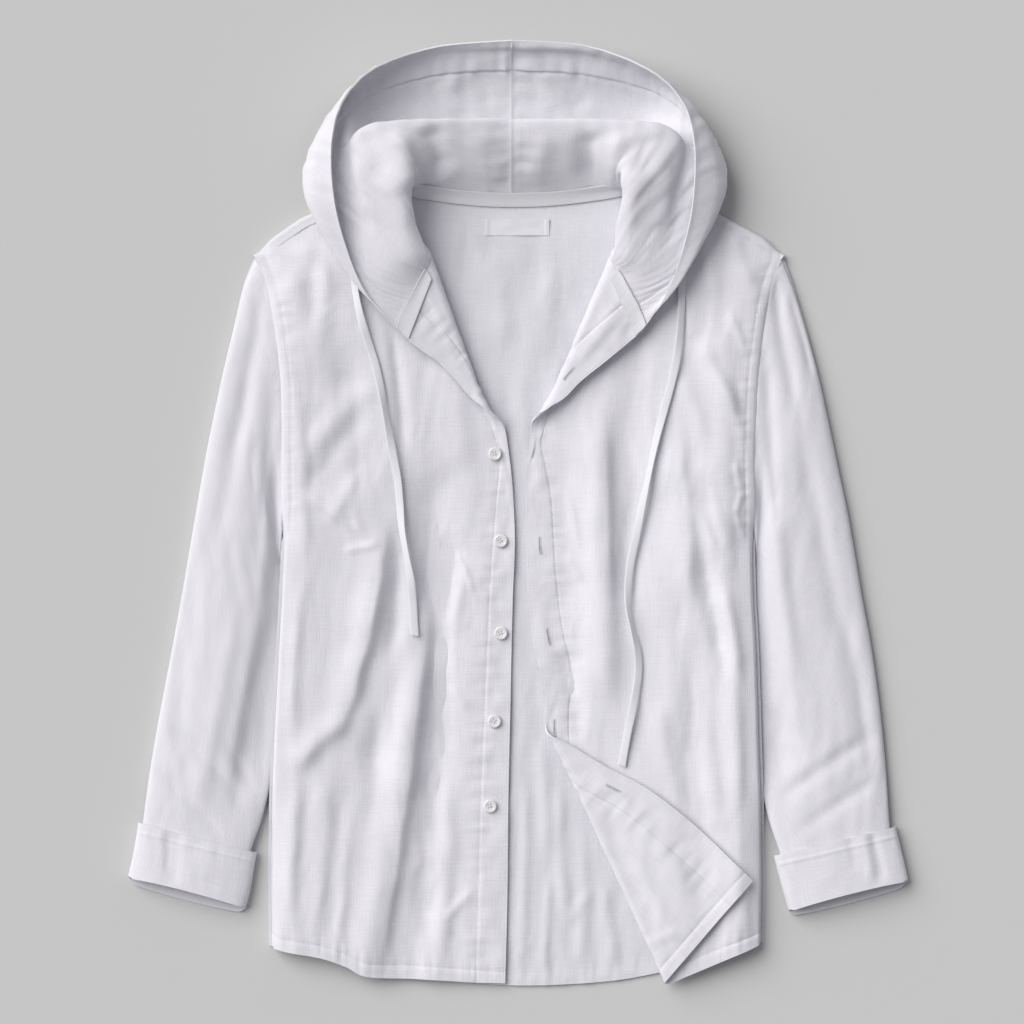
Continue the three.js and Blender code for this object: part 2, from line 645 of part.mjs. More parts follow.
// turned-back cuff: a thicker tube round the end of the sleeve, its under layer longer at the mouth
function cuffPoint(side, share, turn) {
  const row = through(CUFF[side], share)
  const across = (1 - Math.cos(turn)) / 2
  const sine = Math.sin(turn)
  const middle = FLOOR + 2.4 + SLEEVE_LOW
  let z
  if (sine >= 0) z = middle + (SLEEVE_HIGH + 2.6) * Math.pow(sine, 0.6)
  else z = middle - (middle - CUFF_WALL / 2) * Math.pow(-sine, 0.3)
  const out = mix(row[0], row[2], across)
  const drop = sine < 0 ? 4.5 * share * Math.sqrt(-sine) : 0
  const y = mix(row[1], row[3], across) - drop
  const sign = side === 'right' ? -1 : 1
  return new THREE.Vector3(sign * out, y, z)
}

function cuff(side) {
  return tube((s, turn) => cuffPoint(side, s, turn), 4, 20, () => CUFF_WALL, side)
}

// hood half: sections of thirteen named points, the last section lying along the lapel's seam
const HOOD_LINES = ['neck', 'wall', 'crest', 'shelf', 'ridge', 'tuck', 'valley', 'floorIn', 'floorOut', 'out',
  'lobe', 'curl', 'rim']
const HOOD_AROUND = 16
const HOOD_ACROSS = 24

function lapelSeam(side, share, offset) {
  const beyond = mix(0.13, 1, share)
  const edge = frontPoint(side, 1, 1, beyond)
  const inner = frontPoint(side, 0.97, 1, beyond)
  const away = edge.clone().sub(inner).normalize()
  return edge.addScaledVector(away, offset)
}

function hoodSections(side) {
  const sign = side === 'right' ? -1 : 1
  const sections = HOOD.stations.map((_, k) => HOOD_LINES.map((name) => {
    let p = HOOD[name][k]
    if (side === 'left') {
      if (name === 'rim') p = LEFT_RIM[k]
      else if (name === 'lobe') p = LEFT_LOBE[k]
      else if (name === 'curl') p = LEFT_LOBE[k].map((v, n) => mix(v, LEFT_RIM[k][n], 0.45) + LEFT_CURL[n])
      else p = [p[0] + LEFT_SHIFT[k], p[1], p[2]]
    }
    return [sign * (p[0] + (k === 0 ? SEAM : 0)), p[1], p[2]]
  }))
  const steps = HOOD_LINES.length - 1
  const last = HOOD_LINES.map((_, n) => lapelSeam(side, n / steps, SEAM + (n === 0 ? 0.9 : 0.15)).toArray())
  sections.push(last)
  return sections
}

function hoodPoint(sections, round, across) {
  const line = sections.map((section) => through(section, across))
  const p = through(line, round)
  return new THREE.Vector3(p[0], p[1], Math.max(p[2], FLOOR))
}

function hoodHalf(side) {
  const sections = hoodSections(side)
  const grid = []
  for (let j = 0; j <= HOOD_AROUND; j++) {
    const line = []
    for (let i = 0; i <= HOOD_ACROSS; i++) line.push(hoodPoint(sections, j / HOOD_AROUND, i / HOOD_ACROSS))
    grid.push(side === 'right' ? line : line.reverse())
  }
  return sheetSolid(grid, () => CLOTH)
}

// strip of tape along the back neck seam: x, y of the seam, heights of its three rows
const TAPE = [[-90, 299.5, 2.5, 5.8, 12.5], [-78, 297.5, 2.5, 5.4, 10.8],
  [-62, 295.2, 2.5, 5.2, 9.4], [-45, 293.4, 2.5, 5.1, 8.5],
  [-25, 292, 2.5, 5.0, 8.0], [-5, 291.6, 2.5, 5.0, 8.0], [20, 292, 2.5, 5.0, 8.0],
  [40, 293.4, 2.5, 5.1, 8.5],
  [58, 295.4, 2.5, 5.2, 9.4], [74, 297.6, 2.5, 5.4, 10.8], [88, 299.8, 2.5, 5.8, 12.5]]

function backTape() {
  const lows = TAPE.map(([x, y, a]) => new THREE.Vector3(x, y - 5.5, a))
  const mids = TAPE.map(([x, y, , b]) => new THREE.Vector3(x, y + 1.2, b))
  const highs = TAPE.map(([x, y, , , c]) => new THREE.Vector3(x, y + 7, c))
  return sheetSolid([lows, mids, highs], () => 1.0)
}

// strip of tape over the seam of lapel and hood, made from their own points moved out
function lapelTape(side) {
  const sections = hoodSections(side)
  const steps = 8
  const grid = []
  for (let j = 0; j <= steps; j++) {
    const share = mix(0.27, 0.985, j / steps)
    const low = frontPoint(side, 0.978, 1, mix(0.13, 1, share))
    const seam = lapelSeam(side, share, 0)
    const high = hoodPoint(sections, 0.968, share)
    const line = [low, seam, high]
    for (const p of line) p.z += 2.6
    grid.push(side === 'right' ? line.reverse() : line)
  }
  return sheetSolid(grid, () => 1.0)
}

function label() {
  const grid = [-7.6, 0, 7.6].map((dy) => [-30, -15, 0, 15, 30].map((dx) => {
    const bow = 0.5 * Math.cos((dx / 30) * Math.PI * 0.5)
    return new THREE.Vector3(dx, 267 + dy, 2.0 + bow)
  }))
  return sheetSolid(grid, () => 0.9)
}

const ringPoints = (x, y, radius, count) => Array.from({ length: count }, (_, k) => {
  const a = (k / count) * Math.PI * 2
  return new THREE.Vector2(x + radius * Math.cos(a), y + radius * Math.sin(a))
})

// four-hole button with rounded edges
function buttonSolid() {
  const shape = new THREE.Shape(ringPoints(0, 0, BUTTON_RADIUS - 0.5, 24))
  for (let k = 0; k < 4; k++) {
    const a = (k * Math.PI) / 2 + Math.PI / 4
    shape.holes.push(new THREE.Path(ringPoints(1.7 * Math.cos(a), 1.7 * Math.sin(a), 1.1, 6).reverse()))
  }
  const options = { depth: BUTTON_HEIGHT - 1, bevelThickness: 0.5, bevelSize: 0.5, bevelSegments: 1 }
  return new THREE.ExtrudeGeometry(shape, options).translate(0, 0, 0.5)
}

function addButtons() {
  BUTTONS.forEach(([x, y, spin], k) => {
    const geometry = buttonSolid()
    geometry.rotateZ((spin * Math.PI) / 180)
    geometry.translate(x, y, frontHeight('right', -x, y) + FACING / 2 + 0.7)
    add(`button_${k + 2}`, geometry, SHELL)
  })
  // the top button hangs from the under side of the rolled lapel
  const [x, y] = TOP_BUTTON
  const under = frontHeight('right', -x, y) + TOP_BUTTON_RISE
  add('button_1', buttonSolid().translate(x, y, under), SHELL)
}

// flat drawstring: an eight-sided section carried along its route and turned as it goes
function cord(side) {
  const rows = CORDS[side]
  const sign = side === 'right' ? -1 : 1
  const route = rows.map(([out, y, lift, twist]) => {
    const lean = (twist * TWIST * Math.PI) / 180
    const half = Math.hypot((CORD_WIDTH / 2) * Math.sin(lean), (CORD_THICK / 2) * Math.cos(lean))
    return new THREE.Vector3(sign * out, y, frontHeight(side, out, y) + CLOTH / 2 + half + lift - 1.7)
  })
  const sections = rows.map((row, k) => {
    const before = route[Math.max(k - 1, 0)]
    const after = route[Math.min(k + 1, rows.length - 1)]
    const along = after.clone().sub(before).normalize()
    const across = new THREE.Vector3(-along.y, along.x, 0).normalize()
    const up = new THREE.Vector3().crossVectors(along, across).multiplyScalar(-1)
    const turn = (row[3] * TWIST * Math.PI) / 180
    const line = []
    for (let i = 0; i < 8; i++) {
      const a = (i / 8) * Math.PI * 2
      const u = (CORD_WIDTH / 2) * Math.cos(a)
      const v = (CORD_THICK / 2) * Math.sin(a)
      const cu = u * Math.cos(turn) - v * Math.sin(turn)
      const cv = u * Math.sin(turn) + v * Math.cos(turn)
      line.push(route[k].clone().addScaledVector(across, cu).addScaledVector(up, cv))
    }
    return line
  })
  return rod(sections)
}

// closed solid through a run of rings, with flat ends
function rod(sections) {
  const around = sections[0].length
  const points = sections.flat()
  const faces = []
  const at = (k, i) => k * around + ((i + around) % around)
  for (let k = 0; k < sections.length - 1; k++) {
    for (let i = 0; i < around; i++) {
      faces.push([at(k, i), at(k + 1, i), at(k + 1, i + 1)], [at(k, i), at(k + 1, i + 1), at(k, i + 1)])
    }
  }
  const last = sections.length - 1
  for (let i = 1; i < around - 1; i++) {
    faces.push([at(0, 0), at(0, i), at(0, i + 1)])
    faces.push([at(last, 0), at(last, i + 1), at(last, i)])
  }
  const geometry = new THREE.BufferGeometry()
  geometry.setAttribute('position', new THREE.Float32BufferAttribute(points.flatMap((p) => p.toArray()), 3))
  geometry.setIndex(faces.flat())
  geometry.computeVertexNormals()
  return geometry
}

const group = new THREE.Group()
group.name = 'hooded_shirt'

function add(name, geometry, material) {
  const mesh = new THREE.Mesh(geometry, material)
  mesh.name = name
  group.add(mesh)
  return mesh
}

add('back', backPanel(), LINEN)
add('front_right', frontPanel('right'), LINEN)
add('front_left', frontPanel('left'), LINEN)
add('sleeve_right', sleeve('right'), LINEN)
add('sleeve_left', sleeve('left'), LINEN)
add('cuff_right', cuff('right'), LINEN)
add('cuff_left', cuff('left'), LINEN)
add('hood_right', hoodHalf('right'), LINEN)
add('hood_left', hoodHalf('left'), LINEN)
add('neck_tape', backTape(), TRIM)
add('neck_tape_right', lapelTape('right'), TRIM)
add('neck_tape_left', lapelTape('left'), TRIM)
add('label', label(), TRIM)
addButtons()
add('drawstring_right', cord('right'), TRIM)
add('drawstring_left', cord('left'), TRIM)

// the row's origin is the middle of the base, so every piece moves over by the same amount
const box = new THREE.Box3().setFromObject(group)
const centre = box.getCenter(new THREE.Vector3())
for (const mesh of group.children) mesh.geometry.translate(-centre.x, -centre.y, 0)

export default group
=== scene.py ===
"""Hooded linen shirt laid flat: cloth shells, seams and trims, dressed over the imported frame.

Shapes are worked out in millimetres in the drawing's own frame, x across, y from hem to hood and
z up, and go to the row frame in metres when a mesh is made. Right and left are the wearer's.
"""

import bmesh
import bpy
import numpy as np
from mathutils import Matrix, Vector


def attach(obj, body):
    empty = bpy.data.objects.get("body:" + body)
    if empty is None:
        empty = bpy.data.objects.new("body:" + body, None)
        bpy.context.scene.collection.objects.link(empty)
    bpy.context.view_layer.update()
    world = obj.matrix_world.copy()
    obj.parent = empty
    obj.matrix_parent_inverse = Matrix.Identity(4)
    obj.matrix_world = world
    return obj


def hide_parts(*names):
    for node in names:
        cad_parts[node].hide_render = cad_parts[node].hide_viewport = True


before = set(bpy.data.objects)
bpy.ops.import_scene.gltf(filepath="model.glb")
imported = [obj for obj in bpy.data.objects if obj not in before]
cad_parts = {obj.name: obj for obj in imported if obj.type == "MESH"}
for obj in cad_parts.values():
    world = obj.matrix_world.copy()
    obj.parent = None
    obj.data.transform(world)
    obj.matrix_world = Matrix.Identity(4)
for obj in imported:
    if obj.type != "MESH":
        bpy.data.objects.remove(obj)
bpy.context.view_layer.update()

# where the drawing's zero lies in the row frame, and its scale
ORIGIN = np.array([-1.0026, -0.4624, 0.0])
METRES = 0.001
# the side of the middle line that each half lies on
SIGN = {"right": -1, "left": 1}
# the photograph: millimetres to a pixel, and the drawing's zero in pixels
PIXEL = 0.93
PHOTO_SIZE = 1024
PHOTO_ZERO = (517.0, 514.0)

# camera height in metres, and the height of the cloth at which the scale is true
CAMERA_HIGH = 6.0
CLOTH_HIGH = 0.012
# the key light: strength, spread in degrees and direction, and the strength of the fill
KEY_STRENGTH = 3.1
KEY_SPREAD = 55
KEY_TOWARDS = (0.7, -0.5, -0.74)
FILL_STRENGTH = 0.31

# sizes that the solids share
FLOOR = 0.6
SEAM = 0.3
SLEEVE_LOW = 3.0
SLEEVE_HIGH = 9.5
SLEEVE_FULL = 12.5
CHEST_SIDE = 17
CHEST_CENTRE = 5.2
SHOULDER_Z = 8.2
SIDE_ZONE = 24
SHOULDER_FOLD = 3.8
CUFF_WALL = 2.0
# at the mouth, how far the under layer shows and the top edge draws back
CUFF_DROP = 6.0
CUFF_BOW = 3.6
BUTTON_RADIUS = 6.2
BUTTON_HEIGHT = 2.4
# how far a button's base stands above the cloth's middle, and how far out its holes lie
BUTTON_RISE = 1.65
HOLE_OUT = 1.75
# the label's size, and how far up its middle lies
LABEL_LONG = 60
LABEL_WIDE = 15.2
LABEL_Y = 267
CORD_WIDTH = 7.6
CORD_THICK = 2.2
# the cord as it is dressed is flatter than its solid
CORD_FLAT = 1.5
# how far the cut end leans for each millimetre across the cord
CORD_SLANT = 0.3
TWIST = 0.6

# how far the sewn edges tuck under or over each other
ARMHOLE_TUCK = 1.2
SHOULDER_LAP = 5.6
SHOULDER_TUCK = 6.0

# sizes of the cloth and its sewing
LINEN = 0.7
DOUBLED = 1.6
# thickness under the stitches, where single cloth meets a doubled band or a hem
BAND_EDGE = LINEN + 0.7
HEM_EDGE = LINEN + 0.4
CUFF_CLOTH = 1.5
CUFF_STITCH = 8.5
EDGE_STITCH = 2.5
SEAM_STITCH = 9.0
TAPE_THICK = 0.7
HEM_DEEP = 11.0
ARMHOLE_SEAM = 9.0
# length of a front from hem to shoulder, for spacing its rows
FRONT_LONG = 665.0
PLACKET = {"right": 27.0, "left": 31.0}
STITCH_PITCH = 2.7
STITCH_LONG = 2.0
STITCH_WIDE = 0.65

# visible edge of the body from hem corner to shoulder tip: y, distance out from the middle
SIDE_EDGE = {
    "right": [[-402, 231], [-359, 232], [-312, 232], [-266, 231], [-210, 229], [-173, 227], [-117, 224],
              [-80, 222], [-33, 220], [13, 219], [50, 219], [87, 219], [125, 220], [162, 224], [194, 229],
              [219, 235], [234, 241], [238, 243]],
    "left": [[-398, 230], [-359, 231], [-312, 231], [-266, 230], [-210, 228], [-173, 227], [-117, 225],
             [-80, 223], [-33, 222], [13, 222], [50, 221], [87, 222], [125, 224], [162, 228], [194, 233],
             [219, 239], [234, 245], [238, 247]],
}
# flat front edge from hem to neck: y, distance out from the middle
FRONT_EDGE = {
    "right": [[-437, 11], [-359, 9], [-266, 8], [-173, 6], [-80, 4], [-24, 2], [15, 3.5], [41, 5.6],
              [60, 8], [89, 12], [123, 17.5], [160, 17], [183, 11], [206, 6]],
    "left": [[-438, 9], [-371, 5], [-311, 7], [-261, 17], [-223, 22], [-190, 27], [-164, 26], [-126, 16],
             [-80, 10], [-29, 8], [13, 8], [36, 8.4], [57, 11], [109, 14], [140, 17], [176, 14],
             [196, 12], [217, 10]],
}
# line the lapel rolls about, carried down as the facing's stitch line: y, distance out
ROLL_LINE = {
    "right": [[-436, 42], [-359, 40], [-266, 39], [-173, 37], [-80, 35], [-24, 32], [20, 26], [62, 20],
              [99, 34], [135, 47], [170, 60], [210, 75], [243, 88], [251, 91]],
    "left": [[-437, 142], [-431, 139.3], [-371, 111.4], [-311, 83.6], [-261, 60.4], [-223, 42.8],
             [-206, 36], [-190, 34], [-164, 39], [-126, 42], [-80, 40], [-29, 37], [13, 33], [45, 22],
             [62, 18], [89, 27], [135, 48], [170, 63], [210, 81], [240, 94], [249, 97]],
}
# lapel roll: line from A down to B, and how tight it curls along that line
LAPEL = {
    "right": {"a": [88, 243], "b": [33, 99]},
    "left": {"a": [94, 240], "b": [27, 89]},
}
LAPEL_CURL = [[-60, 7.5], [0, 7], [60, 5.8], [120, 4.8], [150, 6], [172, 14], [192, 60]]
# corner of the left front turned back on itself
CORNER = {"a": [29, -193.5], "b": [139.5, -431.5]}
CORNER_CURL = [[-42, 80], [-20, 12], [0, 6], [40, 3.6], [270, 3.6]]
# hem line from side to front edge: distance out, y
HEM = {
    "right": [[231, -402], [216, -407], [183, -413], [160, -421], [141, -430], [100, -432], [62, -434],
              [11, -437]],
    "left": [[230, -398], [221, -402], [189, -412], [160, -421], [127, -431], [96, -436], [53, -436],
             [9, -438]],
}
HEM_SPLIT = {"right": 0.85, "left": 0.393}
BACK_HEM = [[-231, -402], [-183, -412], [-141, -424], [-100, -431], [-11, -439], [77, -436],
            [138, -426], [189, -412], [230, -398]]
# shoulder seam and neckline from the tip of the shoulder to the roll line: distance out, y
FRONT_TOP = {
    "right": [[241, 234], [211, 257], [183, 271], [146, 288], [112, 301], [109, 290], [106, 278],
              [99, 262], [91, 251]],
    "left": [[245, 234], [212, 258], [181, 272], [147, 288], [112, 301], [109, 290], [106, 276],
             [101, 259], [97, 249]],
}
BACK_TOP = [[-243, 238], [-225, 254], [-199, 272], [-155, 290], [-120, 303], [-111, 302.5], [-97, 300],
            [-72, 296], [-34, 292], [-5, 291], [26, 292], [59, 295], [98, 300.5], [111, 302.5],
            [120, 303], [152, 290.5], [191, 273], [226, 254.5], [247, 238]]
# how far the back lifts at its side to pass over the sleeve beneath: y, height
BACK_LIFT = [[-402, 0.6], [-330, 0.6], [-300, 1.2], [-272, 4.8], [-254, 7.6], [-240, 8], [-55, 8.2],
             [-42, 8], [-30, 6.6], [-15, 3.6], [0, 1.2], [15, 0.6], [240, 0.6]]

# large folds of each front: distance out and y of both ends, half width, height
FOLDS = {
    "right": [
        [62, -45, 128, -220, 15, -3.2],
        [128, -220, 108, -430, 17, -3.0],
        [92, -110, 138, -400, 14, 3.2],
        [60, -150, 78, -420, 13, 1.8],
        [170, 10, 110, -45, 10, 2.0],
        [190, 180, 150, 20, 14, 2.0],
    ],
    "left": [
        [78, 60, 82, -150, 13, 3.0],
        [110, 170, 104, -60, 12, -2.4],
        [190, 150, 196, -80, 14, 2.4],
        [150, -60, 176, -380, 15, -2.6],
        [205, -100, 208, -380, 12, 2.2],
    ],
}

# sleeve edges from cap to cuff mouth: outer x, y, inner x, y (distances out)
SLEEVE = {
    "right": [
        [244, 238, 221, -15], [254, 213, 221.5, -36], [263, 176, 218.5, -60], [273, 134, 212, -82],
        [283, 87, 210, -105], [291, 46, 210, -130], [300, -6, 212, -155], [311, -71, 216, -182],
        [321, -126, 221, -212], [332, -184, 228, -245], [341, -236, 238, -284], [347.5, -284, 247.5, -312],
        [351.5, -312, 251.5, -340], [355, -333, 255.5, -361]],
    "left": [
        [248, 238, 223.5, -15], [258, 210, 224, -36], [269, 172, 221, -60], [280, 130, 214, -82],
        [290, 85, 212, -105], [299, 42, 212, -130], [309, -6, 214, -155], [320, -71, 216, -180],
        [330, -126, 219, -210], [338, -184, 226, -243], [343, -236, 234, -282], [346.5, -288, 245, -316],
        [351, -316, 250, -343], [356, -338, 255, -364]],
}
# cuff edges from its stitched top to its mouth: outer x, y, inner x, y
CUFF = {
    "right": [[351.9, -287, 242.7, -315], [353.9, -301, 245.2, -328], [357.4, -322, 248.7, -350],
              [361.3, -340, 253.2, -368]],
    "left": [[351.8, -291, 239.8, -318], [355.4, -306, 243.2, -332], [359.9, -326, 248.2, -352],
             [363.3, -343, 253.7, -371]],
}
# hood lines from neck to rim; in each, a point for every section from the back seam to the collar
HOOD = [
    [[5, 294.4, 3.6], [42, 296, 3.6], [84, 301.6, 4.6], [98, 304.6, 6.6], [107, 301, 11], [105, 285, 10],
     [100, 266, 10.5], [90.3, 255.6, 13]],
    [[5, 303, 8], [42, 304, 8], [84, 309, 13], [98, 310, 17], [102, 303, 21], [100, 285, 21],
     [94, 264, 21], [86, 247, 21]],
    [[5, 325, 24], [48, 326, 26], [92, 326, 34], [101, 322, 41], [100, 306, 43], [98, 287, 39],
     [93, 264, 33], [84, 243, 28]],
    [[5, 347, 36], [53, 348, 38], [104, 344, 44], [117, 335, 48], [116, 313, 50], [111, 291, 45],
     [105, 265, 40], [94, 239, 34]],
    [[5, 364, 38], [58, 365, 41], [118, 363, 43], [143, 355, 42], [148, 332, 41], [138, 297, 38],
     [127, 267, 35], [108, 234, 34]],
    [[5, 360, 27], [58, 359, 29], [119, 357, 31], [147, 350, 31], [158, 337, 32], [150, 300, 32],
     [137, 269, 32], [114, 231, 33]],
    [[5, 322, 9], [52, 325, 9], [109, 329, 11], [140, 336, 17], [163, 338, 24], [160, 303, 27],
     [146, 270, 29], [120, 228, 32]],
    [[5, 331, 2], [56, 334, 2], [115, 338, 3], [148, 342, 8], [168, 340, 17], [169, 306, 22],
     [154, 271, 26], [126, 225, 31]],
    [[5, 388, 6], [64, 386, 6], [125, 375, 4], [156, 358, 4], [174, 343, 12], [178, 309, 19],
     [163, 272, 24], [132, 221, 30]],
    [[5, 417, 17], [70, 413, 17], [130, 397, 15], [162, 371, 10], [181, 346, 11], [189, 311, 18],
     [176, 274, 23], [140, 217, 29]],
    [[5, 429, 23], [75, 425, 23], [134, 408, 23], [168, 379, 22], [188, 348, 22], [199, 313, 25],
     [189, 276, 29], [147, 212, 29]],
    [[5, 434, 29], [76, 430, 29], [134, 413, 32], [166, 382, 36], [183, 348, 37], [190, 308, 38],
     [180, 268, 37], [146, 209, 31]],
    [[5, 439, 34], [75, 433, 35], [131, 413, 47], [160, 384, 48], [171, 345, 48], [170, 298, 46],
     [160, 253, 40], [141, 207, 33]],
]
LOBE_LINE = 10
CURL_LINE = 11
RIM_LINE = 12
# the trough inside the rim is shallower at the sides: line, lowest height
HOOD_TROUGH = [[6, 30], [7, 29], [8, 27], [9, 26]]
# the left half sits a little differently: shift out per section, and its own rim and lobe
LEFT_SHIFT = [-10, -8, -4, -2, -1, -1, -0.3, 6.5]
LEFT_RIM = [[-5, 439, 34], [63, 434, 35], [122, 411, 47], [153, 381, 48], [164, 342, 48],
            [163, 292, 46], [155, 250, 40], [140, 207, 33]]
LEFT_LOBE = [[-5, 429, 23], [63, 426, 23], [125, 406, 23], [165, 375, 22], [186, 343, 22],
             [195, 311, 25], [184, 273, 29], [146, 211, 29]]
# how far the curl below the left rim stands off the line between lobe and rim
LEFT_CURL = [4, 0, 3]
# share of the way from neck to rim where the hem of the hood is stitched
HOOD_HEM = 0.735
# share of the way round a half, from the centre seam, where its collar begins
HOOD_COLLAR = 0.62

# strip of tape along the back neck seam: how far up its three rows lie from the seam; then, along
# the seam, x, y of the seam and the heights of the three rows
TAPE_ROWS = [-5.5, 1.2, 7]
TAPE = [
    [-103, 302.4, 2.8, 7.5, 14.6], [-90, 299.5, 2.5, 5.8, 12.5], [-78, 297.5, 2.5, 5.4, 10.8],
    [-62, 295.2, 2.5, 5.2, 9.4], [-45, 293.4, 2.5, 5.1, 8.5], [-25, 292, 2.5, 5.0, 8.0],
    [-5, 291.6, 2.5, 5.0, 8.0], [20, 292, 2.5, 5.0, 8.0], [40, 293.4, 2.5, 5.1, 8.5],
    [58, 295.4, 2.5, 5.2, 9.4], [74, 297.6, 2.5, 5.4, 10.8], [88, 299.8, 2.5, 5.8, 12.5],
    [101, 302.6, 2.8, 7.5, 14.6]]

# tape on a lapel: the stretch of the seam it covers, how far down the front and up the hood its
# edges reach, as shares of their length, and its rise off the cloth
LAPEL_START = 0.13
LAPEL_TAPE = [0.27, 0.985]
LAPEL_TAPE_LOW = 0.987
LAPEL_TAPE_HIGH = 0.976
LAPEL_TAPE_RISE = 2.6

# buttons down the right front: x, y, turn of the holes in degrees
BUTTONS = [[-20.5, 56, 10], [-15, -25, 35], [-15, -111, 20], [-21, -193, 60], [-25, -272, 15]]
TOP_BUTTON = [-55, 142]
TOP_BUTTON_RISE = 5.2
# buttonholes up the left front, as heights on its flat pattern
BUTTONHOLES = [139, 55, -29, -114, -199, -284]
BUTTONHOLE_IN = 16.0
BUTTONHOLE_LONG = 15.0

# drawstring ends: distance out, y, height above the front, twist in degrees
CORDS = {
    "right": [[149, 236, 2.6, 20], [151.5, 222, 2.5, 30], [150, 206, 2.8, 65], [147, 190, 3.4, 80],
              [143, 175, 3.4, 60], [138, 159, 2.8, 25], [132, 140, 2.6, 8], [127, 119, 3.2, 30],
              [123, 98, 4.0, 70], [119, 76, 4.2, 85], [115, 54, 4.0, 75], [111, 32, 3.2, 45],
              [109, 10, 3.0, 30], [107, -14, 3.6, 60], [103, -38, 4.0, 80], [99, -60, 3.4, 60],
              [97, -80, 2.6, 20], [96, -98, 2.4, 6], [95, -113, 2.4, 0]],
    "left": [[152, 238, 2.6, 10], [153, 222, 2.5, 12], [153, 204, 2.8, 30], [152.5, 184, 3.2, 55],
             [151, 163, 3.6, 75], [148, 142, 3.6, 65], [143, 120, 3.0, 35], [137, 98, 2.8, 20],
             [131, 76, 3.2, 45], [126, 54, 3.8, 70], [121, 30, 4.0, 80], [116, 6, 3.8, 70],
             [111, -20, 3.2, 45], [106, -44, 2.8, 25], [103.5, -66, 3.2, 45], [104, -88, 3.8, 70],
             [108, -108, 3.8, 75], [112, -126, 3.2, 45], [113, -146, 3.0, 30], [110.5, -166, 3.4, 55],
             [107, -184, 3.8, 70], [103, -202, 3.4, 50], [100, -219, 2.8, 25], [97.5, -234, 2.5, 8]],
}

